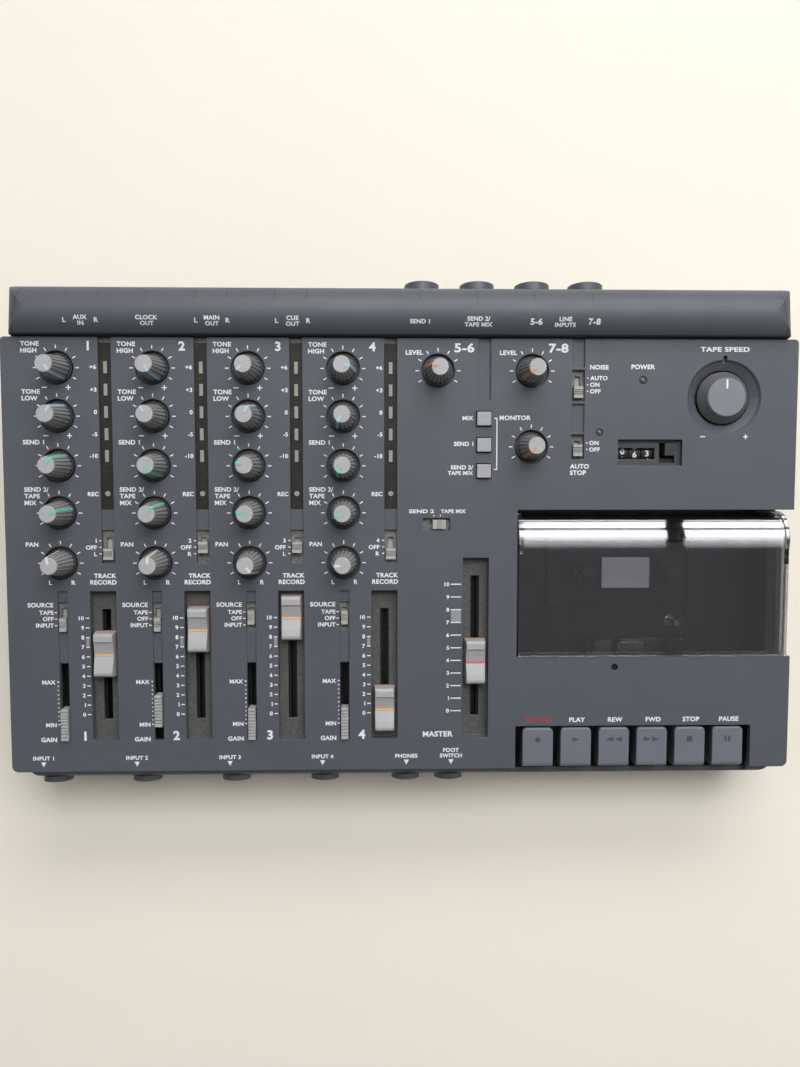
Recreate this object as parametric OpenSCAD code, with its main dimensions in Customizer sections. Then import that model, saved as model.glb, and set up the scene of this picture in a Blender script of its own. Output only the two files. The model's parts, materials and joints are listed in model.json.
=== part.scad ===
// Four-track cassette recorder for a table top. A sloping control panel carries a four-channel
// mixer on its left and a cassette deck under a smoked lid on its right. A rolled hump behind
// the panel holds the rear sockets, and the rounded nose in front of it holds the jack sockets.
//
// Panel coordinates: u runs right from the panel's left edge, v runs up the slope from its front
// edge, and h stands square to the panel, with its top face at 0. on_panel() sets them in the
// model's frame. The jacks, the hump and the lower case use the level coordinates of on_level():
// x as in the panel, y back from the panel's front edge, and z up from the table.

/* [Case] */
// Width of the control panel
panel_w = 375; // [372:1:450]
// Depth of the control panel, measured along its slope
panel_d = 206.3; // [204:0.1:248]
// Slope of the panel
tilt = 6.5; // [5:0.5:8]
// Height of the panel's front edge above the table
front_h = 48; // [47:1:58]
// Thickness of the panel moulding
plate_t = 3; // [2.6:0.1:3.6]
// Depth of the rim that hangs down round the panel
rim_h = 8; // [6:0.5:9]
// Wall of the lower case and of the rear cover
wall_t = 2.5; // [2:0.1:3]
// How far the lower case stands in from the panel's sides
side_inset = 4.4; // [3.8:0.1:5]
// How far the nose stands out in front of the panel's edge
nose_reach = 5; // [4:0.5:8]
// Radius of the nose's upper edge
nose_r = 5.5; // [4:0.5:7]
// Height of the middle of the nose's upper edge
nose_z = 33.4; // [32:0.2:35]
// Radius of the lower front edge
chin_r = 14; // [8:1:16]
// Height of the hump's crest above the table
crest_h = 80; // [78:1:96]
// Radius of the hump's rear roll
roll_r = 12.6; // [10:0.1:13]
// Radius of the hump's front slope
slope_r = 14; // [12:0.5:16]
// Radius of the hump's shoulders at its two ends
shoulder_r = 10; // [6:0.5:12]
// Radius of the case's upright corners
corner_r = 5.5; // [4:0.5:7]
// Height at which the rear cover meets the lower case
split_z = 38; // [34:1:42]
// Height of the rubber feet
foot_h = 4; // [3:0.5:8]
// Diameter of the rubber feet
foot_d = 16; // [12:1:20]

/* [Mixer] */
// Distance from one channel to the next
channel_pitch = 44.45; // [44:0.05:45.5]
// Middle of the first channel's knobs
knob_u = 25.6; // [25:0.1:27]
// Middle of the first channel's level meter
meter_u = 48; // [47:0.1:49]
// Middle of the first channel's fader
fader_u = 44.95; // [44:0.05:46]
// Middle of the first channel's input switch and trim control
trim_u = 25.85; // [25:0.05:27]
// Middle of the master fader
master_u = 222; // [221:0.5:223]
// Diameter of the dished recess round each small knob
dish_d = 16; // [15:0.5:18]
// Depth of the recess round each small knob
dish_depth = 3; // [2.5:0.1:4]
// Diameter of a small knob's skirt
knob_d = 13.8; // [12:0.2:14.4]
// Height of a small knob above the panel
knob_h = 15; // [12:0.5:18]
// Diameter of the knob shafts
shaft_d = 6; // [5:0.5:6.5]
// Width of the fader troughs
trough_w = 12.4; // [11.5:0.1:14]
// Depth of the fader troughs
trough_depth = 4.8; // [4:0.1:5.5]
// Width of the fader caps
cap_w = 10.3; // [8.5:0.1:10.6]
// Length of the fader caps
cap_l = 21.6; // [18:0.1:24]
// Travel of the channel faders
fader_travel = 46.5; // [36:0.5:48]
// Travel of the master fader
master_travel = 61.4; // [50:0.2:62]
// Travel of the trim controls
trim_travel = 20.6; // [16:0.2:21]
// Travel of a switch from one position to the next
switch_step = 3.1; // [2.4:0.1:3.4]

/* [Deck] */
// Front edge of the cassette opening
bay_v = 54.5; // [52:0.5:56]
// Depth of the cassette opening, along the slope
bay_d = 71.1; // [70:0.1:76]
// Width of the cassette opening, from the panel's right edge
bay_w = 133.2; // [130:0.1:136]
// Depth of the cassette well's floor below the panel
well_depth = 26; // [24:0.5:28]
// Gap between the lid and the edges of its opening
lid_gap = 0.8; // [0.5:0.1:1.2]
// Wall of the smoked lid
lid_t = 2; // [1.6:0.1:2.4]
// Radius of the lid's rolled rear edge, round its hinge
lid_r = 12.4; // [10:0.2:13]
// Diameter of the lid's hinge pins
hinge_pin_d = 3; // [2.5:0.1:4]
// Distance between the two spindles
spindle_gap = 42.5; // [40:0.5:46]
// Width of a transport key
key_w = 14.7; // [13:0.1:16.4]
// Distance from one transport key to the next
key_pitch = 18.55; // [18:0.05:19]
// Depth of the key recess, from the panel's front edge
key_bay_d = 20.8; // [18:0.1:24]
// Thickness of a key's walls
key_wall = 2; // [1.6:0.1:2.6]
// Diameter of the rod that the keys turn on
key_rod_d = 3; // [2.5:0.1:4]

/* [Sockets] */
// Diameter of the front jack sockets' collars
front_collar_d = 14; // [13:0.5:16]
// Diameter of the rear jack sockets' collars
rear_collar_d = 17; // [15:0.5:18]
// Bore of a 6.3 mm jack socket
jack_bore_d = 6.5; // [6.4:0.05:6.6]
// How far the front collars stand out of the nose
front_collar_l = 2.7; // [2:0.1:5]
// How far the rear collars stand out of the rear cover
rear_collar_l = 6.3; // [4:0.1:8]
// Depth of a jack socket's bore
jack_depth = 24; // [20:1:26]
// Height of the front jack sockets above the table
front_jack_z = 29; // [28:0.5:31]
// Height of the rear sockets above the table
rear_jack_z = 54; // [52:0.5:56]
// Diameter of a phono socket's shell
phono_d = 8.3; // [8:0.1:8.6]

/* [Colours] */
// Colour of the case mouldings
case_colour = [0.33, 0.34, 0.37]; // [0:0.01:1]
// Colour of the caps, levers and buttons
cap_colour = [0.62, 0.62, 0.61]; // [0:0.01:1]
// Colour of the transport keys
key_colour = [0.41, 0.42, 0.45]; // [0:0.01:1]

/* [Hidden] */
CHANNELS = [1, 2, 3, 4];
KNOB_ROWS = ["eq_high", "eq_low", "effect_1", "effect_2", "pan"];
KEYS = ["record", "play", "rewind", "forward", "stop", "pause"];
$fn = 48;

// Overlap that keeps cuts from ending on a face
eps = 0.5;
// Gap between a seated piece and its seat, which keeps the two apart as solids
seat_gap = 0.3;
// Radial clearance of a shaft or pin in its bore, and of a shaft in the panel's hole
shaft_clear = 0.08;
shaft_hole = 0.9;

// Depth of the panel seen from above, and the hump's front, crest and rear behind it
ledge_gap = 0.8;
hump_rise = 10.8;
panel_run = panel_d * cos(tilt);
hump_y = panel_run + ledge_gap;
crest_y = hump_y + hump_rise;
rear_y = crest_y + roll_r;
// The model's frame has its middle halfway between the front and the rear jack collars
reach_front = nose_reach + front_collar_l;
reach_rear = rear_y + rear_collar_l;
front_y = -(reach_rear - reach_front) / 2;

// Places counted from the right and the back edges of the panel
function right(d) = panel_w - d;
function back(d) = panel_d - d;
// A channel's own copy of a place in the first channel
function chan(u, c) = u + (c - 1) * channel_pitch;
// The edges of a stretch about its middle
function about(m, w) = [m - w / 2, m + w / 2];
// Points of an arc in the plane, from one angle to another
function arc(c, r, from, to, steps = 12) =
    [for (i = [0:steps]) let (a = from + (to - from) * i / steps) c + r * [cos(a), sin(a)]];
// Height of the panel's plane above the table, at a level distance y and an offset h from it
function plane_z(y, h = 0) = front_h + y * tan(tilt) + h / cos(tilt);

module on_level() translate([-panel_w / 2, front_y, 0]) children();
module on_panel(u = 0, v = 0, h = 0)
    translate([-panel_w / 2, front_y, front_h]) rotate([tilt, 0, 0]) translate([u, v, h]) children();
module slab(u, v, h) translate([u[0], v[0], h[0]]) cube([u[1] - u[0], v[1] - v[0], h[1] - h[0]]);
module post(u, v, r, h) translate([u, v, h[0]]) cylinder(r = r, h = h[1] - h[0]);
// An outline in the plane of y and z, drawn out across the case from x[0] to x[1]
module across(x) translate([x[0], 0, 0]) rotate([90, 0, 90]) linear_extrude(x[1] - x[0]) children();
// A cylinder along y, used for sockets
module along_y(x, z, r, y, sides = 48)
    translate([x, y[0], z]) rotate([-90, 0, 0]) cylinder(r = r, h = y[1] - y[0], $fn = sides);
// A cylinder across the case in panel coordinates, used for pins and rods
module along_u(u, v, h, r) translate([u[0], v, h]) rotate([0, 90, 0]) cylinder(r = r, h = u[1] - u[0]);

// ---------------------------------------------------------------- layout of the mixer

// Distances of the knob rows from the panel's back edge
row_back = [14.3, 36.7, 59.8, 82, 105.7];
// Pointer angles at rest, clockwise from straight up, for each row and channel
row_turn = [[147, 150, -132, 100], [30, -27, 30, -150], [33, 146, -75, -150], [70, 40, -75, -115],
            [-15, 5, 144, -95]];
// The other small knobs: name, u, distance from the back edge, pointer angle
level_56 = [203.6, 15.2, -70];
level_78 = [248.1, 15.2, -128];
monitor = [247.9, 50.8, -146];
small_knobs = concat(
    [for (r = [0:4]) for (c = CHANNELS) [chan(knob_u, c), back(row_back[r])]],
    [for (k = [level_56, level_78, monitor]) [k[0], back(k[1])]]);

// Pitch knob and its dish
pitch_from_right = 35.1;
pitch_from_back = 27.4;
pitch_dish_r = 17.8;
pitch_ring_r = 13.1;
pitch_depth = 3.4;
pitch_lip = 1.2;
pitch_notch = [16.4, 19.6];
pitch_groove = [0.5, 1.4];
pitch_r = 12.3;
pitch_top_r = 8.8;
pitch_h = 3;

// Level meters: width of a strip, its length from the back edge, and its bars
meter_w = 6;
meter_l = 80.4;
meter_depth = 2.2;
meter_t = 1;
bar_back = [13.9, 24.3, 34.7, 45, 55.2];
bar = [1.7, 5.5];
rec_lamp_back = 72.9;
rec_lamp_r = 1.2;
// The two round lamps in the panel: u from the right edge, distance from the back, radius
lamps = [[74.2, 19.4, 1.9], [94.6, 44, 1.7]];

// Recessed switch windows of the channels
record_window = [100.4, 116.1];
record_middle = 107.9;
record_rest = [-1, 0, 0, -1];
input_window = [67.2, 81.8];
input_groove_end = 87.2;
input_middle = 74.3;
input_rest = [-1, -1, 0, 0];
window_depth = 2.2;
window_w = 6;
input_w = 4.5;
groove_depth = 0.9;
lever_gap = 0.35;
// A lever's foot along its travel, the slack of its slot, and the shutter that covers the slot
lever_foot_l = 2;
slot_slack = 1;
shutter = [3.4, 0.6];
shutter_top = -3.7;
two_steps = 2 * switch_step;
// The three single slide switches
cue_window = [[196.6, 209.6], [115.8, 121.7]];
cue = [204.4, 118.75];
noise_back = [14.6, 29.3];
noise_rest_back = 25.1;
zero_back = [44.95, 56.65];
zero_rest_back = 52.45;
tape_switch_from_right = 104.9;

// Faders and trims
fader_v = [15.2, 87.2];
fader_zero = 27.9;
master_v = [15.4, 102.7];
master_zero = 28.7;
fader_rest = [56.7, 68.4, 74.1, 29.6];
master_rest = 52.4;
slot_w = 4.2;
slot_end = 3.6;
cap_top = 2.5;
trim_cap = [3.5, 15.2];
trim_zero = 23.1;
trim_slot = [trim_zero - trim_cap[1] / 2 - 0.4, trim_zero + trim_travel + trim_cap[1] / 2 + 1.2];
trim_slot_w = 4.4;
trim_rest = [23.1, 29.6, 23.1, 23.1];

// Monitor buttons: u, distances from the back edge
button_u = 225.4;
button_back = [37.6, 49.9, 62.2];
button = [6.6, 6.4];
button_hole = 7.4;
button_h = 1.8;

// Main board under the panel
board_h = -16.5;
board_t = 1.6;
board_left = 17;
board_edge = 232;
pot_top = -9.5;

// Front jack sockets, along x, and the tongues of the board between them
jack_x = concat([for (c = CHANNELS) chan(15, c)], [188.8, 210.4]);
jack_body = [14, 14, 22];
tongue_v = 13;

// Rear sockets, along x
phono_x = [33.5, 48, 70.5, 93.3, 107.8, 130.2, 144.7];
rear_jack_x = [196.8, 223.9, 251, 277.4];
phono_bay = [24, 154];
phono_bay_depth = 8.4;
power_from_right = 38;

// ---------------------------------------------------------------- layout of the deck

bay_u = right(bay_w);
lid_top = 0.6;
lid_v = [bay_v + 0.4, bay_v + bay_d - 1.7];
lid_side = [right(2.1 + 1.9), right(2.1)];
lid_side_drop = 15.5;
lid_lip = 3.2;
hinge = [lid_v[1] - lid_r, lid_top - lid_r];
hinge_cheek = 2.2;
deck_wall = [bay_u - 2.2, bay_u + 0.2];
deck_right = [right(11.5), right(side_inset + wall_t + seat_gap)];
deck_v = [bay_v - 8, bay_v + bay_d + 3.4];
deck_t = 2;
well_h = -well_depth;
// Rests under the cassette, the holes in the well's floor and the bright plate between them
rest_u = 36;
rest_size = [8, 34, 2.4];
spindle_hole_r = 3.2;
bright_plate = [24.9, [-8.5, 7.7], 1.6];
spindle_u = right(74.1);
spindle_v = bay_v + 38.8;
spindle_tip = -18.5;
capstan = [spindle_u + 24.1, bay_v + 13.6];
sled_margin = 6;
erase_head_u = 13.5;
pinch_r = 5.5;
capstan_r = 1.25;
// Flywheel: radius, underside and top; its rim, and the groove round it for the belt
flywheel = [24, -45.5, -41];
flywheel_rim = 5;
flywheel_groove = 0.9;
bearing_r = 5;
// Motor: u, v and radius; the radius of its pulley
motor = [right(119), bay_v + 14, 16];
pulley_r = 3.4;
// Height of the counter's number wheels below the panel, their radius, and the counter's box
wheel_top = -4.8;
wheel_r = 6.3;
counter_box = [15, -20, -18.5];

// Transport keys
key_first = right(122.5);
key_bay = [right(133.4), right(18.4)];
key_top = 0.4;
key_front = 0.6;
key_back = key_bay_d - 0.9;
key_drop = 8.5;
key_pivot = [38, -14];
key_arm_w = 7;

// Counter
counter = [right(70.2), back(53.45)];
counter_pocket = [30.8, 12.3];
counter_depth = 2.6;
digits_u = [right(85.1), right(67.2)];
digits_v = [back(56.5), back(51.2)];
reset = [right(60.55), back(52)];
reset_size = [4.9, 5.8];
reset_hole = [[reset[0] - 4.45, reset[0] + 2.85], [reset[1] - 6.3, reset[1] + 3.3]];

// ---------------------------------------------------------------- case mouldings

module panel_outline(inset = 0) {
    front_r = max(3 - inset, 0.5);
    back_r = max(2 - inset, 0.5);
    x = [inset, panel_w - inset];
    y = [inset, panel_d - inset];
    polygon(concat(
        arc([x[0] + front_r, y[0] + front_r], front_r, 180, 270, 6),
        arc([x[1] - front_r, y[0] + front_r], front_r, 270, 360, 6),
        arc([x[1] - back_r, y[1] - back_r], back_r, 0, 90, 6),
        arc([x[0] + back_r, y[1] - back_r], back_r, 90, 180, 6)));
}

// The material under a rectangular recess, and the recess itself
module recess_tray(u, v, depth, floor_t = 1.7)
    slab([u[0] - floor_t, u[1] + floor_t], [v[0] - floor_t, v[1] + floor_t],
         [-depth - floor_t, -plate_t + eps]);
module recess(u, v, depth) slab(u, v, [-depth, eps]);

module fader_slot(u, zero, travel)
    slab(about(u, slot_w), [zero - slot_end, zero + travel + slot_end], [-trough_depth - 3, eps]);

module top_case_body() {
    translate([0, 0, -plate_t]) linear_extrude(plate_t) panel_outline();
    translate([0, 0, -rim_h]) linear_extrude(rim_h) difference() {
        panel_outline();
        panel_outline(wall_t);
    }
    for (c = CHANNELS) {
        recess_tray(about(chan(fader_u, c), trough_w), fader_v, trough_depth);
        recess_tray(about(chan(meter_u, c), window_w), record_window, window_depth, 1.2);
        recess_tray(about(chan(trim_u, c), input_w), input_window, window_depth, 1.2);
    }
    recess_tray(about(master_u, trough_w), master_v, trough_depth);
    recess_tray(cue_window[0], cue_window[1], window_depth, 1.2);
    recess_tray(about(counter[0], counter_pocket[0]), about(counter[1], counter_pocket[1]),
                counter_depth);
    for (k = small_knobs) post(k[0], k[1], dish_d / 2 + 1.6, [-dish_depth - 2, -plate_t + eps]);
    post(right(pitch_from_right), back(pitch_from_back), pitch_dish_r + 1.4,
         [-pitch_depth - 2.4, -plate_t + eps]);
    // Walls that close the sides and the back of the key recess
    for (u = [[key_bay[0] - wall_t, key_bay[0]], [key_bay[1], key_bay[1] + wall_t]])
        slab(u, [0, key_bay_d + wall_t], [-rim_h - 5, -plate_t + eps]);
    slab([key_bay[0] - wall_t, key_bay[1] + wall_t], [key_bay_d, key_bay_d + wall_t],
         [-plate_t - 1.2, -plate_t + eps]);
}

// The slot under a slide switch's window, from the foot's place in the first position
function lever_slot(from, travel) =
    [from - (lever_foot_l + slot_slack) / 2, from + travel + (lever_foot_l + slot_slack) / 2];

// Everything cut from the panel in one channel strip
module channel_cuts(c) {
    recess(about(chan(fader_u, c), trough_w), fader_v, trough_depth);
    fader_slot(chan(fader_u, c), fader_zero, fader_travel);
    recess(about(chan(meter_u, c), meter_w), [back(meter_l), panel_d + eps], meter_depth);
    recess(about(chan(meter_u, c), window_w), record_window, window_depth);
    recess(about(chan(meter_u, c), window_w), [record_window[1] - eps, back(meter_l) + eps],
           groove_depth);
    slab(about(chan(meter_u, c), 2.6), lever_slot(record_middle - switch_step, two_steps), [-9, eps]);
    recess(about(chan(trim_u, c), input_w), input_window, window_depth);
    recess(about(chan(trim_u, c), input_w), [trim_slot[1] - eps, input_groove_end], groove_depth);
    slab(about(chan(trim_u, c), 2.2), lever_slot(input_middle - switch_step, two_steps), [-9, eps]);
    slab(about(chan(trim_u, c), trim_slot_w), trim_slot, [-9, eps]);
}

module tape_switch_cuts() {
    u = about(right(tape_switch_from_right), window_w);
    slot_u = about(right(tape_switch_from_right), 2.6);
    for (w = [noise_back, zero_back]) recess(u, [back(w[1]), back(w[0])], window_depth);
    slab(slot_u, lever_slot(back(noise_rest_back), two_steps), [-9, eps]);
    slab(slot_u, lever_slot(back(zero_rest_back), switch_step), [-9, eps]);
    // Shallow grooves that carry the strips on above and between the windows
    recess(u, [back(noise_back[0]) + 1.2, panel_d + eps], 1.2);
    recess(u, [back(zero_back[0]) + 1.2, back(noise_back[1]) - 1.2], 1.2);
    recess(about(button_u + 0.2, window_w), [back(28.7), panel_d + eps], 1.2);
}

module small_knob_cuts()
    for (k = small_knobs) {
        post(k[0], k[1], dish_d / 2, [-dish_depth, eps]);
        post(k[0], k[1], shaft_d / 2 + shaft_hole, [-dish_depth - 3, eps]);
    }

// The pitch knob's dish: a wide shallow cone down to a flat ring
module pitch_dish_cut()
    translate([right(pitch_from_right), back(pitch_from_back), 0]) {
        translate([0, 0, -pitch_depth])
            cylinder(r1 = pitch_ring_r, r2 = pitch_dish_r - 1, h = pitch_depth - pitch_lip);
        translate([0, 0, -pitch_lip - 0.001])
            cylinder(r1 = pitch_dish_r - 1, r2 = pitch_dish_r + 0.4, h = pitch_lip + eps);
        post(0, 0, shaft_d / 2 + shaft_hole, [-pitch_depth - 3, eps]);
        slab(about(0, 1.8), pitch_notch, [-2, eps]);
        // A narrow ring sunk round the knob's edge
        difference() {
            post(0, 0, pitch_ring_r, [-pitch_depth - pitch_groove[1], eps]);
            post(0, 0, pitch_r - pitch_groove[0], [-pitch_depth - 2, 1]);
        }
    }

module top_case() color(case_colour) on_panel() difference() {
    top_case_body();
    for (c = CHANNELS) channel_cuts(c);
    recess(about(master_u, trough_w), master_v, trough_depth);
    fader_slot(master_u, master_zero, master_travel);
    recess(cue_window[0], cue_window[1], window_depth);
    slab(lever_slot(cue[0] - switch_step, switch_step), about(cue[1], 2.6), [-9, eps]);
    tape_switch_cuts();
    small_knob_cuts();
    pitch_dish_cut();
    for (b = button_back) slab(about(button_u, button_hole), about(back(b), button_hole), [-9, eps]);
    for (l = lamps) post(right(l[0]), back(l[1]), l[2] + shaft_clear, [-9, eps]);
    recess(about(counter[0], counter_pocket[0]), about(counter[1], counter_pocket[1]), counter_depth);
    slab(digits_u, digits_v, [-9, eps]);
    slab(reset_hole[0], reset_hole[1], [-9, eps]);
    // Tape opening, which runs out through the right side, and the small hole in front of it
    slab([bay_u, panel_w + eps], [bay_v, bay_v + bay_d], [-30, eps]);
    post(right(85.5), bay_v - 5, 1.65, [-9, eps]);
    slab(key_bay, [-eps, key_bay_d], [-30, eps]);
    // The rim's back face stands upright in front of the hump
    rotate([-tilt, 0, 0]) slab([-eps, panel_w + eps], [panel_run + 0.2, panel_run + 3], [0, crest_h]);
}

// The case seen from above, drawn in by a wall
module plan_outline(t) {
    r = corner_r - t;
    x = [side_inset + corner_r, panel_w - side_inset - corner_r];
    y = [corner_r - nose_reach, rear_y - corner_r];
    polygon(concat(arc([x[0], y[0]], r, 180, 270, 6), arc([x[1], y[0]], r, 270, 360, 6),
                   arc([x[1], y[1]], r, 0, 90, 6), arc([x[0], y[1]], r, 90, 180, 6)));
}

// The lower case's walls stand just inside the panel's rim
inner_front = wall_t * cos(tilt) + rim_h * sin(tilt) + seat_gap;
inner_back = (panel_d - wall_t) * cos(tilt) + plate_t * sin(tilt) - seat_gap;

// Side view of the lower case, drawn in by a wall
function lower_profile(t) = concat(
    [[inner_front + t, t > 0 ? crest_h : plane_z(inner_front, -plate_t - seat_gap)]],
    [[inner_front + t, nose_z + nose_r - t]],
    arc([nose_r - nose_reach, nose_z], nose_r - t, 90, 180),
    arc([chin_r - nose_reach, foot_h + chin_r], chin_r - t, 180, 270),
    arc([rear_y - 6, foot_h + 6], 6 - t, 270, 360, 8),
    t > 0 ? [[rear_y - t, crest_h]]
          : [[rear_y, split_z], [hump_y, split_z], [hump_y, plane_z(hump_y, -rim_h - seat_gap)],
             [inner_back, plane_z(inner_back, -rim_h - seat_gap)],
             [inner_back, plane_z(inner_back, -plate_t - seat_gap)]]);

// Screw pillars that stand on the lower case's floor, in panel u and level y
pillars = [[11, 40], [11, 168], [236, 34], [236, 118], [right(14), 10], [right(14), 166]];
screw_r = 1.5;
screw_l = 12;

// The groove in which the lid's rolled edge turns down as the lid opens
module lid_hinge_groove(u) {
    across(u) polygon(concat(
        arc(hinge, lid_r + 0.5, -88, 95, 24), arc(hinge, lid_r - lid_t - 0.5, 95, -88, 24)));
    // The roof's root stands up through the wall's top edge when the lid is open
    slab(u, [hinge[0] + lid_r - 6, lid_v[1] + 2], [hinge[1] + 2, 0]);
}

module lower_solid(t) intersection() {
    across([0, panel_w]) polygon(lower_profile(t));
    linear_extrude(crest_h) plan_outline(t);
}

module bottom_case() color(case_colour) on_level() difference() {
    union() {
        difference() {
            lower_solid(0);
            lower_solid(wall_t);
        }
        intersection() {
            lower_solid(0);
            for (p = pillars) post(p[0], p[1], 3, [foot_h, crest_h]);
        }
    }
    for (x = jack_x) along_y(x, front_jack_z, jack_bush_r + 0.4, [-nose_reach - eps, wall_t], 12);
    for (p = pillars) {
        post(p[0], p[1], screw_r + shaft_clear, [foot_h - eps, foot_h + screw_l + 2]);
        post(p[0], p[1], 3.4, [foot_h - eps, foot_h + 1]);
    }
    // Notch for the transport keys, and the hole for the lid's right hinge pin
    slab([key_bay[0] - wall_t - 0.4, key_bay[1] + wall_t + 0.4], [-nose_reach - eps, 30],
         [nose_z + 1, crest_h]);
    translate([0, 0, front_h]) rotate([tilt, 0, 0]) {
        lid_hinge_groove([right(side_inset + wall_t + 1), right(side_inset - 1)]);
        along_u([right(side_inset + wall_t + 1), right(side_inset - 1)], hinge[0], hinge[1],
                hinge_pin_d / 2 + 0.5);
    }
    // Vents in the floor
    for (i = [0:7]) slab(about(70 + 12 * i, 3), [120, 160], [foot_h - eps, foot_h + wall_t + eps]);
}

// Side view of the rear cover, drawn in by a wall
function hump_profile(t) = concat(
    [[rear_y - t, t > 0 ? split_z - 1 : split_z]],
    arc([crest_y, crest_h - roll_r], roll_r - t, 0, 90),
    arc([crest_y, crest_h - slope_r], slope_r - t, 90, acos((hump_y + t - crest_y) / (slope_r - t))),
    [[hump_y + t, t > 0 ? split_z - 1 : split_z]]);

// The rear cover seen from the front, with its rounded shoulders, drawn in by a wall
module hump_front(t) {
    x = [side_inset + shoulder_r, panel_w - side_inset - shoulder_r];
    z = crest_h - shoulder_r;
    polygon(concat([[0, split_z - 2], [0, z]], arc([x[0], z], shoulder_r - t, 180, 90, 10),
                   arc([x[1], z], shoulder_r - t, 90, 0, 10), [[panel_w, z], [panel_w, split_z - 2]]));
}

module hump_solid(t) intersection() {
    across([0, panel_w]) polygon(hump_profile(t));
    translate([0, rear_y + 1, 0]) rotate([90, 0, 0]) linear_extrude(rear_y) hump_front(t);
    translate([0, 0, split_z - 2]) linear_extrude(crest_h) plan_outline(t);
}

jack_bush_r = 5.8;

module rear_cover() color(case_colour) on_level() difference() {
    union() {
        difference() {
            hump_solid(0);
            hump_solid(wall_t);
            // The front wall is only a short skirt behind the panel
            slab([side_inset + wall_t, panel_w - side_inset - wall_t], [hump_y - 1, hump_y + wall_t + 1],
                 [split_z - 1, plane_z(hump_y, -5)]);
            slab([0, panel_w], [0, rear_y], [split_z - 2, split_z]);
        }
        slab([phono_bay[0] - wall_t, phono_bay[1] + wall_t], [rear_y - phono_bay_depth - wall_t, rear_y],
             about(rear_jack_z, 23));
        slab(about(right(power_from_right), 19), [rear_y - phono_bay_depth - wall_t, rear_y],
             about(rear_jack_z, 19));
    }
    slab(phono_bay, [rear_y - phono_bay_depth, rear_y + eps], about(rear_jack_z, 18));
    slab(about(right(power_from_right), 14), [rear_y - phono_bay_depth, rear_y + eps],
         about(rear_jack_z, 14));
    for (x = phono_x) along_y(x, rear_jack_z, 3.4, [rear_y - 20, rear_y], 12);
    along_y(right(power_from_right), rear_jack_z, 4.6, [rear_y - 20, rear_y], 12);
    for (x = rear_jack_x) along_y(x, rear_jack_z, jack_bush_r + 0.4, [rear_y - 5, rear_y + eps], 12);
}

module feet_and_screws() color([0.1, 0.1, 0.1]) on_level() {
    for (x = [30, right(30)], y = [34, rear_y - 34])
        translate([x, y, 0]) cylinder(r1 = foot_d / 2 - 0.8, r2 = foot_d / 2, h = foot_h);
    for (p = pillars) {
        post(p[0], p[1], 3, [foot_h - 1.6, foot_h + 0.9]);
        post(p[0], p[1], screw_r, [foot_h, foot_h + screw_l]);
    }
}

// ---------------------------------------------------------------- sockets

// A 6.3 mm jack socket that faces along -y, its wall's outer face at y = 0 and its body set
// back behind the wall
module jack(collar_d, collar_l, body_y) difference() {
    union() {
        along_y(0, 0, collar_d / 2, [-collar_l, 0]);
        along_y(0, 0, jack_bush_r, [-eps, body_y + eps]);
        slab(about(0, jack_body[0]), [body_y, body_y + jack_body[2]], about(0, jack_body[1]));
    }
    along_y(0, 0, jack_bore_d / 2, [-collar_l - eps, jack_depth - collar_l]);
    // A sunk ring round the mouth of the bore
    difference() {
        along_y(0, 0, collar_d / 2 - 1.2, [-collar_l - eps, -collar_l + 0.6]);
        along_y(0, 0, jack_bore_d / 2 + 1.4, [-collar_l - 1, -collar_l + 1]);
    }
}

// A phono socket that faces along -y, its wall's outer face at y = 0
module phono() {
    difference() {
        union() {
            along_y(0, 0, 5.2, [-1, 0]);
            along_y(0, 0, phono_d / 2, [-8, 0]);
            along_y(0, 0, 3, [-eps, wall_t + 2]);
            slab(about(0, 9), [wall_t + seat_gap, wall_t + 9], about(0, 12));
        }
        along_y(0, 0, 1.65, [-8 - eps, 1]);
        difference() {
            along_y(0, 0, 3.5, [-8 - eps, -2]);
            along_y(0, 0, 2.6, [-9, -1]);
        }
    }
}

module power_inlet() difference() {
    union() {
        along_y(0, 0, 5.4, [-2, 0]);
        along_y(0, 0, 4.2, [-eps, wall_t + 2]);
        slab(about(0, 10), [wall_t + seat_gap, wall_t + 8], about(0, 10));
    }
    difference() {
        along_y(0, 0, 2.9, [-2 - eps, 6]);
        along_y(0, 0, 1, [-3, 7]);
    }
}

module jack_sockets() color([0.12, 0.12, 0.13]) on_level() {
    for (x = jack_x) translate([x, -nose_reach, front_jack_z])
        jack(front_collar_d, front_collar_l, nose_r + 0.4);
    for (x = rear_jack_x)
        translate([x, rear_y, rear_jack_z]) rotate([0, 0, 180])
            jack(rear_collar_d, rear_collar_l, wall_t + seat_gap);
    for (x = phono_x)
        translate([x, rear_y - phono_bay_depth, rear_jack_z]) rotate([0, 0, 180]) phono();
    translate([right(power_from_right), rear_y - phono_bay_depth, rear_jack_z])
        rotate([0, 0, 180]) power_inlet();
}

// ---------------------------------------------------------------- indicators

module indicators() color([0.17, 0.16, 0.15]) on_panel() {
    for (c = CHANNELS) {
        u = chan(meter_u, c);
        top = -meter_depth + meter_t;
        slab(about(u, meter_w - 0.1), [back(meter_l) + 0.1, panel_d - wall_t], [-meter_depth, top]);
        for (b = bar_back) slab(about(u, bar[0]), about(back(b), bar[1]), [top - eps, top + 0.35]);
        post(u, back(rec_lamp_back), rec_lamp_r, [top - eps, top + 0.4]);
    }
    for (l = lamps) {
        post(right(l[0]), back(l[1]), l[2], [-plate_t - 1, -0.4]);
        post(right(l[0]), back(l[1]), l[2] + 0.8, [-plate_t - 4, -plate_t]);
    }
}

// ---------------------------------------------------------------- mixer board

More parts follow.
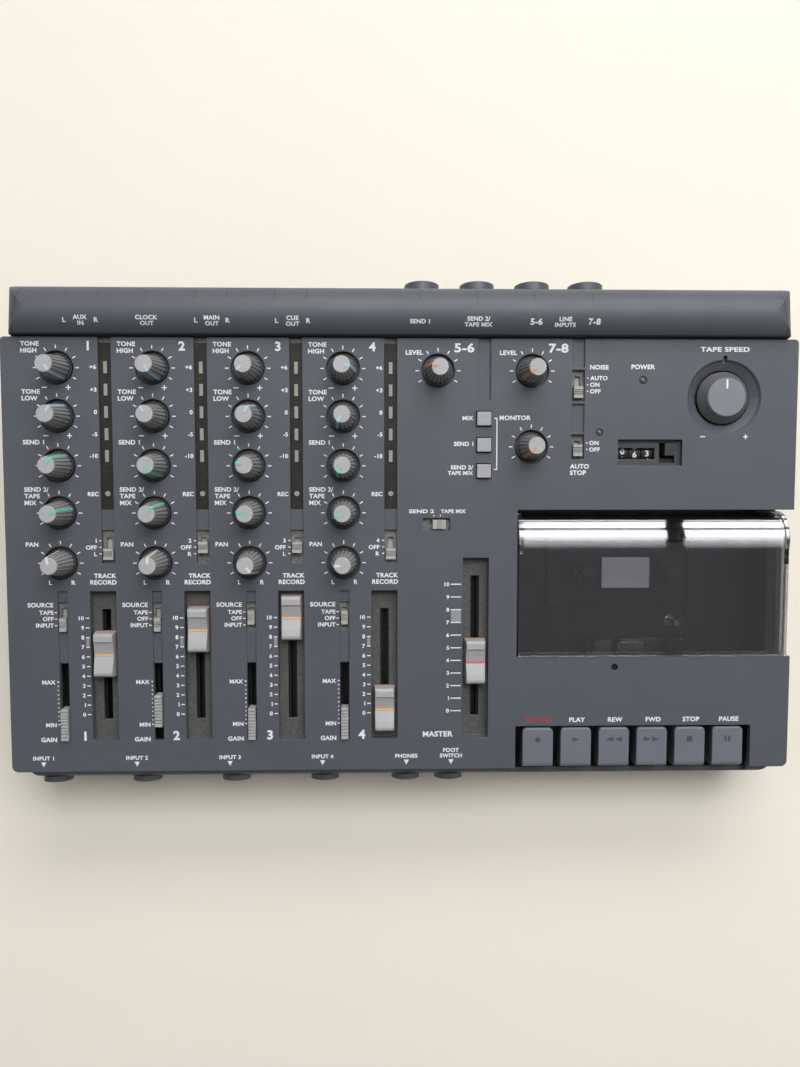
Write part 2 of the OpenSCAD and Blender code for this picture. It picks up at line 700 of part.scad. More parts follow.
module board_outline() {
    translate([board_left, 24]) square([board_edge - board_left, back(10) - 24]);
    difference() {
        translate([board_edge - eps, bay_v + bay_d + 6])
            square([right(24) - board_edge, back(10) - bay_v - bay_d - 6]);
        // Room for the tape counter
        translate([counter[0] - counter_pocket[0] / 2 - 1, counter[1] - 8.5])
            square([counter_pocket[0] + 2, 17]);
    }
    for (i = [0, 1, 2, 3, 5]) {
        u0 = jack_x[i] + jack_body[0] / 2 + 0.6;
        u1 = i < 5 ? jack_x[i + 1] - jack_body[0] / 2 - 0.6 : board_edge;
        translate([u0, tongue_v]) square([u1 - u0, 24 - tongue_v + eps]);
    }
}

// A rotary control: its can, and the bush that its shaft turns in
module pot(u, v, bush_top) translate([u, v, 0]) difference() {
    union() {
        slab(about(0, 11), about(0, 11), [board_h + seat_gap, pot_top]);
        post(0, 0, shaft_d / 2 + 1.4, [pot_top - eps, bush_top]);
    }
    post(0, 0, shaft_d / 2 + shaft_clear, [board_h + 2, bush_top + eps]);
}

// A slide control: a long can with a slot for the lever
module slide_pot(u, v, top, w = 6.4) difference() {
    slab(about(u, w), v, [board_h + seat_gap, top]);
    slab(about(u, 2.2), [v[0] + 3, v[1] - 3], [top - 5, top + eps]);
}

// A slide switch's can
module switch_can(u, v, top) difference() {
    slab(u, v, [board_h + seat_gap, top]);
    slab([u[0] + 1, u[1] - 1], [v[0] + 1.4, v[1] - 1.4], [top - 3.4, top + eps]);
}

lever_foot = -10;

// The upright board that the rear sockets are soldered to
module rear_board() color([0.2, 0.35, 0.25]) on_level()
    slab([phono_bay[0] + 2, rear_jack_x[3] + 14],
         [rear_y - wall_t - 2 * seat_gap - jack_body[2] - board_t,
          rear_y - wall_t - 2 * seat_gap - jack_body[2]], about(rear_jack_z, jack_body[1]));

module mixer_board() {
    rear_board();
    panel_board();
}

module panel_board() color([0.2, 0.35, 0.25]) on_panel() {
    translate([0, 0, board_h - board_t]) linear_extrude(board_t) board_outline();
    for (k = small_knobs) pot(k[0], k[1], -dish_depth - 3);
    pot(right(pitch_from_right), back(pitch_from_back), -pitch_depth - 3.4);
    for (c = CHANNELS) {
        slide_pot(chan(fader_u, c), [fader_zero - 11, fader_zero + fader_travel + 11], -7.5);
        slide_pot(chan(trim_u, c), [trim_slot[0] - 1, trim_slot[1] + 1], -8, 5.2);
        switch_can(about(chan(meter_u, c), 5), [record_window[0], record_window[1]], -8);
        switch_can(about(chan(trim_u, c), 5), about(input_middle, 15.6), -8);
    }
    slide_pot(master_u, [master_zero - 11, master_zero + master_travel + 11], -7.5);
    switch_can(cue_window[0], about(cue[1], 5), -8);
    for (w = [noise_back, zero_back])
        switch_can(about(right(tape_switch_from_right), 5), [back(w[1]), back(w[0])], -8);
    for (b = button_back) difference() {
        slab(about(button_u, 8), about(back(b), 8), [board_h + seat_gap, -9.5]);
        slab(about(button_u, 3.4), about(back(b), 3.4), [board_h + 1.5, -9]);
    }
}

// ---------------------------------------------------------------- knobs, faders and levers

// A small knob: dark skirt, fluted cone, flat cap with a raised pointer, and its shaft
module small_knob(u, v, turn) on_panel(u, v) rotate([0, 0, -turn]) {
    flutes = 18;
    flute_r = 0.62;
    base_r = knob_d / 2 - 0.9;
    top_r = base_r - 1.8;
    cone_h = knob_h - 0.8;
    lean = atan((base_r - top_r) / (cone_h + 1.4));
    color(cap_colour) difference() {
        union() {
            post(0, 0, knob_d / 2, [-dish_depth + 0.5, -1.2]);
            translate([0, 0, -1.4]) cylinder(r1 = base_r, r2 = top_r, h = cone_h + 1.4);
            translate([0, 0, cone_h - 0.01]) cylinder(r1 = top_r - 0.15, r2 = top_r - 0.5, h = 0.81);
        }
        for (i = [0:flutes - 1]) rotate([0, 0, 360 / flutes * (i + 0.5)])
            translate([base_r + flute_r * 0.45, 0, -1.2]) rotate([0, -lean, 0])
                cylinder(r = flute_r, h = knob_h + 6);
    }
    color(cap_colour) slab(about(0, 0.8), [1, top_r - 0.7], [knob_h - 0.5, knob_h + 0.2]);
    color("dimgray") post(0, 0, shaft_d / 2, [board_h + 3, -dish_depth + 1]);
}

module pitch_knob() on_panel(right(pitch_from_right), back(pitch_from_back)) {
    color(case_colour) rotate_extrude() polygon([[0, -pitch_depth + 0.5], [pitch_r, -pitch_depth + 0.5],
        [pitch_r, -pitch_depth + 1.3], [pitch_top_r + 0.4, pitch_h - 0.4], [pitch_top_r, pitch_h],
        [0, pitch_h]]);
    color("dimgray") post(0, 0, shaft_d / 2, [board_h + 3, -pitch_depth + 1]);
}

// Side view of a fader cap: a block at the back, ribs that fall to the line in the middle, and
// a smooth rise to the crest at the front
module cap_side() {
    l = cap_l / 2;
    foot = -trough_depth + 0.6;
    polygon([[-l, foot], [-l + 0.3, cap_top - 1.6], [-l + 1.2, cap_top - 0.2], [-l + 2.4, cap_top],
        [-l * 0.5, cap_top - 0.7], [-0.8, 0.3], [0.8, 0.3], [l * 0.56, cap_top - 1],
        [l * 0.6, cap_top - 0.3], [l - 1.6, cap_top - 0.3], [l - 0.4, cap_top - 1.4], [l, foot]]);
}

module fader_cap() difference() {
    intersection() {
        across(about(0, cap_w)) cap_side();
        rotate([90, 0, 0]) translate([0, 0, -cap_l]) linear_extrude(2 * cap_l)
            polygon([[-cap_w / 2, -trough_depth], [cap_w / 2, -trough_depth],
                     [cap_w / 2 - 0.9, cap_top + 1], [-cap_w / 2 + 0.9, cap_top + 1]]);
    }
    // Grooves between the ribs, and the groove of the line
    for (i = [0:3])
        translate([-cap_w, 1.4 + 1.25 * i, 0.45 + 0.3 * i]) cube([2 * cap_w, 0.55, 2]);
    slab([-cap_w, cap_w], about(0, 1), [0, 2]);
}

module fader(u, v) on_panel(u, v) {
    color(cap_colour) fader_cap();
    color("dimgray") slab(about(0, 1.6), about(0, 5), [-11, -trough_depth + 1]);
}

// A trim control: a narrow ribbed cap that slides inside its slot
module trim(c) on_panel(chan(trim_u, c), trim_rest[c - 1]) {
    color(cap_colour) difference() {
        slab(about(0, trim_cap[0]), about(0, trim_cap[1]), [-5.5, 1.6]);
        for (i = [-4:4]) slab([-3, 3], about(1.5 * i, 0.6), [1, 2]);
    }
    color("dimgray") slab(about(0, 1.4), about(0, 3), [-11, -5]);
}

// A slide switch's ribbed lever, w across and l along its travel, with its foot in the can and
// a shutter under the window
module lever(w, l, travel) {
    difference() {
        slab(about(0, w), about(0, l), [-window_depth + lever_gap, 0.9]);
        for (i = [-1, 1]) slab([-w, w], about(l * i / 6, 0.9), [0.3, 2]);
        slab([-w, w], about(0, 0.8), [0.3, 2]);
    }
    slab(about(0, 1.8), about(0, lever_foot_l), [lever_foot, -window_depth + 1]);
    slab(about(0, shutter[0]), about(0, 2 * travel + lever_foot_l + 2 * slot_slack),
         [shutter_top - shutter[1], shutter_top]);
}

module channel_switch_levers() color(cap_colour) on_panel() for (c = CHANNELS) {
    translate([chan(meter_u, c), record_middle + switch_step * record_rest[c - 1], 0])
        lever(4.6, 5.2, two_steps);
    translate([chan(trim_u, c), input_middle + switch_step * input_rest[c - 1], 0])
        lever(3.2, 6.4, two_steps);
}
module effect_cue_switch() color(cap_colour) on_panel(cue[0], cue[1]) rotate([0, 0, 90])
    lever(4.4, 6.2, switch_step);
module tape_switch(from_back, travel) color(cap_colour)
    on_panel(right(tape_switch_from_right), back(from_back)) lever(4.4, 5.4, travel);

module monitor_button(i) color(cap_colour) on_panel(button_u, back(button_back[i - 1])) {
    slab(about(0, button[0]), about(0, button[1]), [-5.6, button_h]);
    slab(about(0, 3), about(0, 3), [board_h + 4.4, -5.2]);
}

// ---------------------------------------------------------------- cassette deck

// The well: floor, four walls, hinge pins for the lid, and the carriers of the key rod
module deck_frame() color([0.3, 0.3, 0.31]) on_panel() {
    difference() {
        union() {
            slab([deck_wall[0], deck_right[1]], deck_v, [well_h - deck_t, well_h]);
            slab(deck_wall, deck_v, [well_h - deck_t, -plate_t]);
            slab([deck_wall[0], deck_right[1]], [deck_v[0], deck_v[0] + wall_t], [well_h - deck_t, -plate_t]);
            slab([deck_wall[0], deck_right[1]], [deck_v[1] - wall_t, deck_v[1]], [well_h - deck_t, -plate_t]);
            slab(deck_right, deck_v, [well_h - deck_t, -plate_t - 0.4]);
            // Rests that the cassette lies on, and the carriers of the key rod
            for (u = [-rest_u, rest_u]) slab(about(spindle_u + u, rest_size[0]),
                about(spindle_v, rest_size[1]), [well_h - eps, well_h + rest_size[2]]);
            for (u = [deck_wall, about(key_bay[1] + 1.6, 2.4)])
                slab(u, [key_pivot[0] - 4, deck_v[0] + eps], about(key_pivot[1], 8));
        }
        for (s = [-1, 1])
            post(spindle_u + s * spindle_gap / 2, spindle_v, spindle_hole_r, [well_h - 3, well_h + 3]);
        post(capstan[0], capstan[1], spindle_hole_r, [well_h - 3, well_h + 3]);
        along_u([deck_wall[0] - 1, key_bay[1] + 6], key_pivot[0], key_pivot[1], key_rod_d / 2 + shaft_clear);
        lid_hinge_groove([deck_right[0] - 1, deck_right[1] + 1]);
    }
    along_u([deck_wall[1] - eps, bay_u + lid_gap + hinge_cheek], hinge[0], hinge[1], hinge_pin_d / 2);
    along_u([deck_right[1] - eps, lid_side[1] - 0.3], hinge[0], hinge[1], hinge_pin_d / 2);
    along_u([deck_wall[0] + 0.1, key_bay[1] + 2.7], key_pivot[0], key_pivot[1], key_rod_d / 2);
    // Bright plate between the spindles
    slab(about(spindle_u, bright_plate[0]), [for (v = bright_plate[1]) spindle_v + v],
         [well_h, well_h + bright_plate[2]]);
}

// Side view of the lid: a flat top that rolls down round the hinge
module lid_side_view(t) {
    polygon(concat(
        [[lid_v[0] + t, lid_top - t], [lid_v[0] + t, lid_top - lid_side_drop]],
        [[hinge[0], lid_top - lid_side_drop]],
        arc(hinge, lid_r - t, asin((lid_r - lid_side_drop) / lid_r), 90, 20)));
}

module tape_lid() color([0.1, 0.1, 0.11, 0.5]) on_panel() difference() {
    union() {
        // Roof and rolled rear
        across([bay_u + lid_gap, lid_side[1]]) difference() {
            lid_side_view(0);
            polygon(concat([[lid_v[0] - 1, lid_top - lid_t], [lid_v[0] - 1, -30], [hinge[0] + 30, -30]],
                [[hinge[0] + 30, hinge[1] - 1.5], [hinge[0] + lid_r - lid_t, hinge[1] - 1.5]],
                arc(hinge, lid_r - lid_t, 0, 90, 20)));
        }
        // Front lip, right side and left cheek
        slab([bay_u + lid_gap, lid_side[1]], [lid_v[0], lid_v[0] + 1.6], [lid_top - lid_lip, lid_top]);
        across(lid_side) lid_side_view(0);
        along_u(lid_side, hinge[0], hinge[1], lid_r + 0.8);
        intersection() {
            across([bay_u + lid_gap, bay_u + lid_gap + hinge_cheek]) lid_side_view(0);
            slab([0, panel_w], [hinge[0] - 7, lid_v[1]], [-30, 5]);
        }
    }
    along_u([bay_u, panel_w + 1], hinge[0], hinge[1], hinge_pin_d / 2 + shaft_clear);
}

// A spindle: reel table under the floor, shaft, collar and a finned tip
module spindle(side) on_panel(spindle_u + side * spindle_gap / 2, spindle_v) {
    color("gainsboro") post(0, 0, 2.6, [well_h - 6, spindle_tip]);
    color("dimgray") post(0, 0, 14, [well_h - 6.5, well_h - 3]);
    color("dimgray") post(0, 0, 6.1, [well_h + 0.5, well_h + 2.2]);
    color("gainsboro") for (i = [0:5]) rotate([0, 0, 60 * i])
        slab(about(0, 1.1), [0, 4.3], [well_h + 2, spindle_tip - 1.4]);
}

// Sliding head plate with the two heads and the pinch roller
module head_sled() on_panel() {
    front = bay_v + 6;
    pinch_v = front - pinch_r;
    plate_v = [deck_v[0] + wall_t + 0.6, front - 1.5];
    head_top = well_h + 12;
    head_foot = well_h + 1.5;
    color("silver") difference() {
        slab([spindle_u - 20, capstan[0] + sled_margin], plate_v, [well_h + 0.4, well_h + 2]);
        post(spindle_u - 15, front - 6, 1.4, [well_h, well_h + 3]);
    }
    color("gainsboro") {
        // The body and face of the record head, and the erase head beside it
        slab(about(spindle_u, 13), [front - 9, front - 1.5], [head_foot, head_top]);
        slab(about(spindle_u, 9), [front - 2, front], [head_foot + 1.5, head_top - 1]);
        slab(about(spindle_u - erase_head_u, 8), [front - 8, front - 0.5], [head_foot, head_top - 1]);
    }
    color([0.1, 0.1, 0.1]) post(capstan[0], pinch_v, pinch_r, [well_h + 3, head_top - 2]);
    color("silver") post(capstan[0], pinch_v, 1.6, [well_h + 1, head_top - 1]);
}

// Counter with its number wheels, and the drive under the well
module tape_drive() on_panel() {
    // Capstan and its flywheel, in a bearing that hangs from the well's floor
    color("silver") post(capstan[0], capstan[1], capstan_r, [flywheel[1], well_h + 9]);
    color("silver") difference() {
        post(capstan[0], capstan[1], flywheel[0], [flywheel[1], flywheel[2]]);
        post(capstan[0], capstan[1], flywheel[0] - flywheel_rim, [flywheel[1] - 1, flywheel[1] + 1.5]);
        difference() {
            post(capstan[0], capstan[1], flywheel[0] + 1, [flywheel[1] + 1.1, flywheel[2] - 1.1]);
            post(capstan[0], capstan[1], flywheel[0] - flywheel_groove, [flywheel[1] + 1, flywheel[2] - 1]);
        }
    }
    color("dimgray") difference() {
        post(capstan[0], capstan[1], bearing_r, [flywheel[2] + 1, well_h - deck_t - seat_gap]);
        post(capstan[0], capstan[1], capstan_r + 0.15, [flywheel[2], well_h]);
    }
    // Motor and its pulley
    color("gray") post(motor[0], motor[1], motor[2], [flywheel[2] + 2, well_h - deck_t - seat_gap]);
    color("gray") post(motor[0], motor[1], pulley_r, [flywheel[1] + 0.6, flywheel[2] + 2.5]);
    // Flat belt
    color([0.1, 0.1, 0.1]) translate([0, 0, flywheel[1] + 1.4]) linear_extrude(1.7) difference() {
        belt_line(0.8);
        belt_line(0.1);
    }
    color([0.15, 0.15, 0.15]) difference() {
        slab(about(counter[0], counter_pocket[0]), about(counter[1], counter_box[0]),
             [counter_box[1], -counter_depth - 2]);
        slab([digits_u[0] - 0.6, digits_u[1] + 0.6], about(counter[1], counter_box[0] - 1.6),
             [counter_box[2], 0]);
        slab(about(reset[0], 8), about(reset[1], 8), [counter_box[2], 0]);
    }
    // Number wheels on their axle
    wheel_w = (digits_u[1] - digits_u[0]) / 3;
    for (i = [0:2]) color([0.05, 0.05, 0.05])
        along_u([digits_u[0] + wheel_w * i + 0.2, digits_u[0] + wheel_w * (i + 1) - 0.2],
                counter[1], wheel_top - wheel_r, wheel_r);
    color("silver") along_u([digits_u[0] - 0.9, digits_u[1] + 0.9], counter[1], wheel_top - wheel_r, 1);
}

// The belt's path round the flywheel and the motor pulley
module belt_line(grow) hull() {
    translate([capstan[0], capstan[1]]) circle(r = flywheel[0] + grow, $fn = 48);
    translate([motor[0], motor[1]]) circle(r = pulley_r + grow, $fn = 24);
}

module counter_reset() color([0.12, 0.12, 0.12]) on_panel(reset[0], reset[1]) {
    slab(about(0, reset_size[0]), about(0, reset_size[1]), [-9, -0.4]);
    slab(about(0, reset_size[0] + 1.4), about(0, reset_size[1] + 1.2), [-11, -8.5]);
}

// A key's cap seen from above, with its rounded rear corners
module key_outline() {
    r = 2;
    x = key_w / 2 - r;
    polygon(concat([[-x - r, -1], [x + r, -1]], arc([x, key_back - r], r, 0, 90, 5),
                   arc([-x, key_back - r], r, 90, 180, 5)));
}

// A transport key: a hollow cap over the case's front edge and an arm back to the rod
module key(i) color(key_colour) on_panel(key_first + i * key_pitch, 0) difference() {
    union() {
        difference() {
            intersection() {
                across([-key_w, key_w]) polygon(concat(
                    [[key_back, key_top - 0.6], [key_back - 0.6, key_top]],
                    arc([key_front + 2.2, key_top - 2.2], 2.2, 90, 180, 6),
                    [[key_front, -key_drop], [key_back, -key_drop]]));
                translate([0, 0, -2 * key_drop]) linear_extrude(3 * key_drop) key_outline();
            }
            slab(about(0, key_w - 2 * key_wall), [key_front + key_wall, key_back - key_wall],
                 [-key_drop - eps, key_top - key_wall]);
        }
        across(about(0, key_arm_w)) polygon([[key_back - 1, -5], [key_pivot[0] - 4, -8],
            [key_pivot[0] - 4, key_pivot[1] - 2], [key_back - 1, -key_drop]]);
        along_u(about(0, key_arm_w), key_pivot[0], key_pivot[1], 4.2);
        across(about(0, key_arm_w)) polygon([[key_pivot[0] - 6, -7.6], [key_pivot[0], -9.8],
            [key_pivot[0], -18.2], [key_pivot[0] - 6, -14.4]]);
    }
    along_u(about(0, 2 * key_w), key_pivot[0], key_pivot[1], key_rod_d / 2 + shaft_clear);
}

// ---------------------------------------------------------------- the assembly

top_case();
bottom_case();
rear_cover();
indicators();
jack_sockets();
mixer_board();
deck_frame();
tape_drive();
feet_and_screws();
tape_lid();
head_sled();
spindle(-1);  // supply_spindle
spindle(1);  // takeup_spindle
counter_reset();
small_knob(level_56[0], back(level_56[1]), level_56[2]);  // level_56_knob
small_knob(level_78[0], back(level_78[1]), level_78[2]);  // level_78_knob
small_knob(monitor[0], back(monitor[1]), monitor[2]);  // monitor_knob
pitch_knob();
fader(master_u, master_rest);  // master_fader
effect_cue_switch();
tape_switch(noise_rest_back, two_steps);  // noise_switch
tape_switch(zero_rest_back, switch_step);  // zero_return_switch
channel_switch_levers();
for (r = [0:4]) for (c = CHANNELS)
    small_knob(chan(knob_u, c), back(row_back[r]), row_turn[r][c - 1]);
for (c = CHANNELS)
    fader(chan(fader_u, c), fader_rest[c - 1]);
for (c = CHANNELS) trim(c);
for (i = [0:5]) key(i);
for (i = [1:3]) monitor_button(i);
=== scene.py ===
"""Looks of the four-track cassette recorder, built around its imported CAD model.

Panel coordinates, in millimetres: u runs right from the control panel's left edge, v runs up its
slope from the front edge, and h stands square to it, with the panel's top face at 0. They come
from the frame, and at() turns them into the frame's metres. The hump behind the panel has its own
pair: x as u, and s along its front slope, up from the panel.
"""

import json
import math

import bpy
from mathutils import Matrix, Vector


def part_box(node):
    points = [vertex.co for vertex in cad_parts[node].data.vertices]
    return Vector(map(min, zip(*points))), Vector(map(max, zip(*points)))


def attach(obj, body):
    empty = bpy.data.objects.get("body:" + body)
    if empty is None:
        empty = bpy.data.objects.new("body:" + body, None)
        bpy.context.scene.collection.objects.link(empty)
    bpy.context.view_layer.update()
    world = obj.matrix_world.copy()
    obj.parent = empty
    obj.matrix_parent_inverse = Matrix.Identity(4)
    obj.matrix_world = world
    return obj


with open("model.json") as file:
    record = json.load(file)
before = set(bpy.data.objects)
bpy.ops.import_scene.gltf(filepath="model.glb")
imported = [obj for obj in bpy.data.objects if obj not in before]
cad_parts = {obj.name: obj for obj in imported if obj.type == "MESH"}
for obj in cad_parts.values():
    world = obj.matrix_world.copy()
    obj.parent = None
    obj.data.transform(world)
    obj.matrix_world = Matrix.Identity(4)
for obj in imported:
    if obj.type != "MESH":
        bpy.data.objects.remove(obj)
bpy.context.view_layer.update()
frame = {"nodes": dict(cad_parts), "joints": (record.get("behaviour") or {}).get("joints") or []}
NODES = frame["nodes"]
JOINTS = {j["name"]: j for j in frame["joints"]}
MM = 0.001

# ---------------------------------------------------------------- panel coordinates

NORMAL = -Vector(JOINTS["pitch_turn"]["axis"]).normalized()
UPHILL = Vector(JOINTS["master_fader_travel"]["axis"]).normalized()
RIGHT = Vector((1, 0, 0))
PANEL_LO, PANEL_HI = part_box("top_case")
on_plane = Vector(JOINTS["pitch_turn"]["pos_m"])
CORNER = Vector((PANEL_LO.x, PANEL_LO.y, on_plane.z - (PANEL_LO.y - on_plane.y) * NORMAL.y / NORMAL.z))
PANEL_W = (PANEL_HI.x - PANEL_LO.x) / MM
PANEL_D = 206.3


def at(u, v, h=0.0):
    """A point given in panel coordinates, in the frame's metres."""
    return CORNER + (RIGHT * u + UPHILL * v + NORMAL * h) * MM


def panel_span(node):
    """Lowest and highest panel coordinates of a CAD node."""
    points = [(v.co - CORNER) / MM for v in NODES[node].data.vertices]
    rows = [(p.dot(RIGHT), p.dot(UPHILL), p.dot(NORMAL)) for p in points]
    return [min(c) for c in zip(*rows)], [max(c) for c in zip(*rows)]


def joint_place(name):
    """The panel coordinates u and v of a hinge joint."""
    p = (Vector(JOINTS[name]["pos_m"]) - CORNER) / MM
    return p.dot(RIGHT), p.dot(UPHILL)


def right(d):
    return PANEL_W - d


def back(d):
    return PANEL_D - d


# ---------------------------------------------------------------- layout, as in the part's source

CHANNELS = (1, 2, 3, 4)
CHANNEL_PITCH = 44.45
KNOB_U, METER_U, FADER_U, TRIM_U = 25.6, 48.0, 44.95, 25.85
ROW_V = [back(d) for d in (14.3, 36.7, 59.8, 82, 105.7)]
FADER_ZERO, FADER_STEP = 27.9, 4.65
MASTER_ZERO, MASTER_STEP = 28.7, 6.14
WINDOW_DEPTH, TROUGH_DEPTH = 2.2, 4.8
KNOB_H = 15.0
BAY_V, WELL_H = 54.5, -26.0
# Along v: where the lid starts to bend, where its roll starts, and where the roll turns steep
LID_BEND = (104, 111.5, 118)
COUNTER, COUNTER_U = (right(70.2), back(53.45)), (right(86), right(54))
DIGITS_U, WHEEL_TOP, WHEEL_R = (right(85.1), right(67.2)), -4.8, 6.3
LAMPS = ((right(74.2), back(19.4), 1.5), (right(94.6), back(44), 1.3))
TAPE_SWITCH_U = right(104.9)
# Left of this u no part of the ring groove round the pitch knob is cut
PITCH_DISH_U = 322
PITCH_TOP_H = 2.7
BOARD_TOP_H = -16.4
SPINDLE = (right(74.1), BAY_V + 38.8)
KEY_TOP, KEY_SYMBOL_V = 0.4, 14.2
KEY_FIRST, KEY_PITCH = right(122.5), 18.55
KEYS = ("record", "play", "rewind", "forward", "stop", "pause")
JACK_U = [15 + CHANNEL_PITCH * i for i in range(4)] + [188.8, 210.4]
REAR_JACK_U = [196.8, 223.9, 251, 277.4]
PHONO_U = [33.5, 48, 70.5, 93.3, 107.8, 130.2, 144.7]
FRONT_JACK_Z, REAR_JACK_Z = 29 * MM, 54 * MM
CREST_Z, SLOPE_R, ROLL_R = 80 * MM, 14 * MM, 12.6 * MM
COVER_LO, COVER_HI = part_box("rear_cover")
CREST_Y = COVER_HI.y - ROLL_R

# ---------------------------------------------------------------- colours


def srgb(r, g, b):
    """A colour read in 0-255 display values, as the linear colour that renders as it."""
    return tuple(((c / 255 + 0.055) / 1.055) ** 2.4 for c in (r, g, b)) + (1,)


CASE = srgb(79, 82, 88)
CAP_GREY = srgb(166, 166, 164)
KNOB_FLANK = srgb(160, 160, 157)
# Painted highlight: the knobs' tops, painted lighter than their flanks
KNOB_PAINTED_TOP_LIGHT = srgb(172, 170, 171)
KEY_GREY = srgb(106, 109, 117)
BUTTON_GREY = srgb(162, 162, 166)
LEVER_GREY = srgb(168, 167, 163)
STRIP_DARK = srgb(36, 33, 29)
BAR_GREY = srgb(148, 148, 143)
WELL_BLACK = srgb(38, 38, 40)
BOARD_GREEN = srgb(46, 92, 62)
BLACK = srgb(20, 20, 21)
INK = srgb(240, 241, 243)
EQ_BLUE = srgb(176, 214, 230)
SEND_GREEN = srgb(104, 214, 178)
PAN_WHITE = srgb(228, 228, 224)
LEVEL_ORANGE = srgb(226, 158, 104)
LINE_ORANGE = srgb(232, 178, 116)
LINE_PINK = srgb(226, 104, 108)
RECORD_RED = srgb(170, 56, 58)
FLOOR = srgb(236, 229, 214)
DAYLIGHT = (0.97, 0.98, 1.0, 1)

# ---------------------------------------------------------------- materials


class Finish:
    """One Principled material and short names for the nodes that feed it."""

    def __init__(self, name, colour, rough, metal=0.0, shine=0.5):
        self.mat = bpy.data.materials.new(name)
        self.mat.use_nodes = True
        self.tree = self.mat.node_tree
        self.shader = self.tree.nodes["Principled BSDF"]
        self.set(self.shader, {"Base Color": colour, "Roughness": rough, "Metallic": metal,
                               "Specular IOR Level": shine})
        self.mat.diffuse_color = colour

    def set(self, node, values):
        for key, value in values.items():
            if isinstance(value, bpy.types.NodeSocket):
                self.tree.links.new(value, node.inputs[key])
            else:
                node.inputs[key].default_value = value

    def node(self, kind, values=None, **settings):
        n = self.tree.nodes.new("ShaderNode" + kind)
        for key, value in settings.items():
            setattr(n, key, value)
        self.set(n, values or {})
        return n

    def place(self):
        """The surface point in the frame's metres. A CAD node's own coordinates are the frame's."""
        return self.node("TexCoord").outputs["Object"]

    def noise(self, size, detail=3.0, rough=0.6, where=None):
        """Noise from 0 to 1 whose blotches are about size metres across."""
        return self.node("TexNoise", {"Vector": where or self.place(), "Scale": 1 / size,
                                      "Detail": detail, "Roughness": rough}).outputs["Fac"]

    def band(self, value, low, high, to_low=0.0, to_high=1.0, clamp=True):
        """value, between low and high, mapped to to_low and to_high."""
        return self.node("MapRange", {"Value": value, "From Min": low, "From Max": high,
                                      "To Min": to_low, "To Max": to_high}, clamp=clamp).outputs["Result"]

    def math(self, operation, a, b=0.0):
        n = self.node("Math", operation=operation)
        self.set(n, {0: a, 1: b})
        return n.outputs[0]

    def mix(self, factor, a, b):
        n = self.node("Mix", data_type="RGBA")
        self.set(n, {0: factor, 6: a, 7: b})
        return n.outputs[2]

    def along(self, direction, origin=CORNER):
        """How far the surface point lies from origin along a direction, in millimetres."""
        offset = self.node("VectorMath", {0: self.place(), 1: origin}, operation="SUBTRACT").outputs[0]
        dot = self.node("VectorMath", {0: offset, 1: direction}, operation="DOT_PRODUCT").outputs["Value"]
        return self.math("DIVIDE", dot, MM)

    def within(self, value, low, high):
        """1 where value lies between low and high, and 0 elsewhere."""
        return self.math("MULTIPLY", self.math("GREATER_THAN", value, low),
                         self.math("LESS_THAN", value, high))

    def soften(self, radius, height=None, strength=0.2, distance=0.00005):
        """Rounds the shading at edges, with a bump of the given height on top."""
        edge = self.node("Bevel", {"Radius": radius}, samples=4).outputs[0]
        if height is not None:
            edge = self.node("Bump", {"Height": height, "Normal": edge, "Strength": strength,
                                      "Distance": distance}).outputs[0]
        self.set(self.shader, {"Normal": edge})

    def edges(self, radius):
        """0 on flat surfaces, rising to 1 on outer and inner edges."""
        rounded = self.node("Bevel", {"Radius": radius}, samples=4).outputs[0]
        true = self.node("NewGeometry").outputs["Normal"]
        dot = self.node("VectorMath", {0: rounded, 1: true}, operation="DOT_PRODUCT").outputs["Value"]
        return self.band(dot, 0.99, 0.80)


def shade(colour, factor):
    return tuple(min(1.0, c * factor) for c in colour[:3]) + (1,)


def plastic(name, colour, rough=0.5, grain=0.0004, bump=0.25, mottle=0.07, dust=0.0, edge_wear_and_highlight=0.0,
            edge=0.0004, shine=0.5, body_colour=None):
    """Moulded plastic: a fine spark-eroded grain, faint blotches, dust specks, and paler edges that are
    partly wear and partly a painted highlight.
    """
    f = Finish(name, colour, rough, shine=shine)
    base = body_colour(f) if body_colour else colour
    blotch = f.band(f.noise(0.035, 4), 0.3, 0.7)
    tone = f.mix(blotch, shade_node(f, base, 1 - mottle), shade_node(f, base, 1 + mottle))
    # Edges painted paler: partly rubbed wear, partly a painted highlight along outer and inner edges
    if edge_wear_and_highlight:
        worn = f.math("MULTIPLY", f.edges(edge * 1.6), f.band(f.noise(0.006, 4), 0.35, 0.65, 0.25, 1.0))
        tone = f.mix(f.math("MULTIPLY", worn, edge_wear_and_highlight), tone, shade_node(f, base, 1.75))
    if dust:
        where = f.place()
        cells = f.node("TexVoronoi", {"Vector": where, "Scale": 420.0, "Randomness": 1.0})
        speck = f.band(cells.outputs["Distance"], 0.075, 0.03)
        thin = f.band(f.noise(0.02, 3, where=where), 0.53, 0.64)
        tone = f.mix(f.math("MULTIPLY", f.math("MULTIPLY", speck, thin), dust), tone, srgb(196, 197, 200))
    grain_height = f.noise(grain, 2, 0.5)
    f.set(f.shader, {"Base Color": tone,
                     "Roughness": f.band(f.noise(0.012, 3), 0.3, 0.7, rough - 0.05, rough + 0.07)})
    f.soften(edge, grain_height, bump)
    return f.mat


def shade_node(f, colour, factor):
    """A colour or a colour socket, made lighter or darker."""
    if not isinstance(colour, bpy.types.NodeSocket):
        return shade(colour, factor)
    n = f.node("HueSaturation", {"Value": factor, "Color": colour})
    return n.outputs[0]


def case_material():
    return plastic("case_plastic", CASE, rough=0.52, mottle=0.045, dust=0.5, edge_wear_and_highlight=0.55, edge=0.0005)


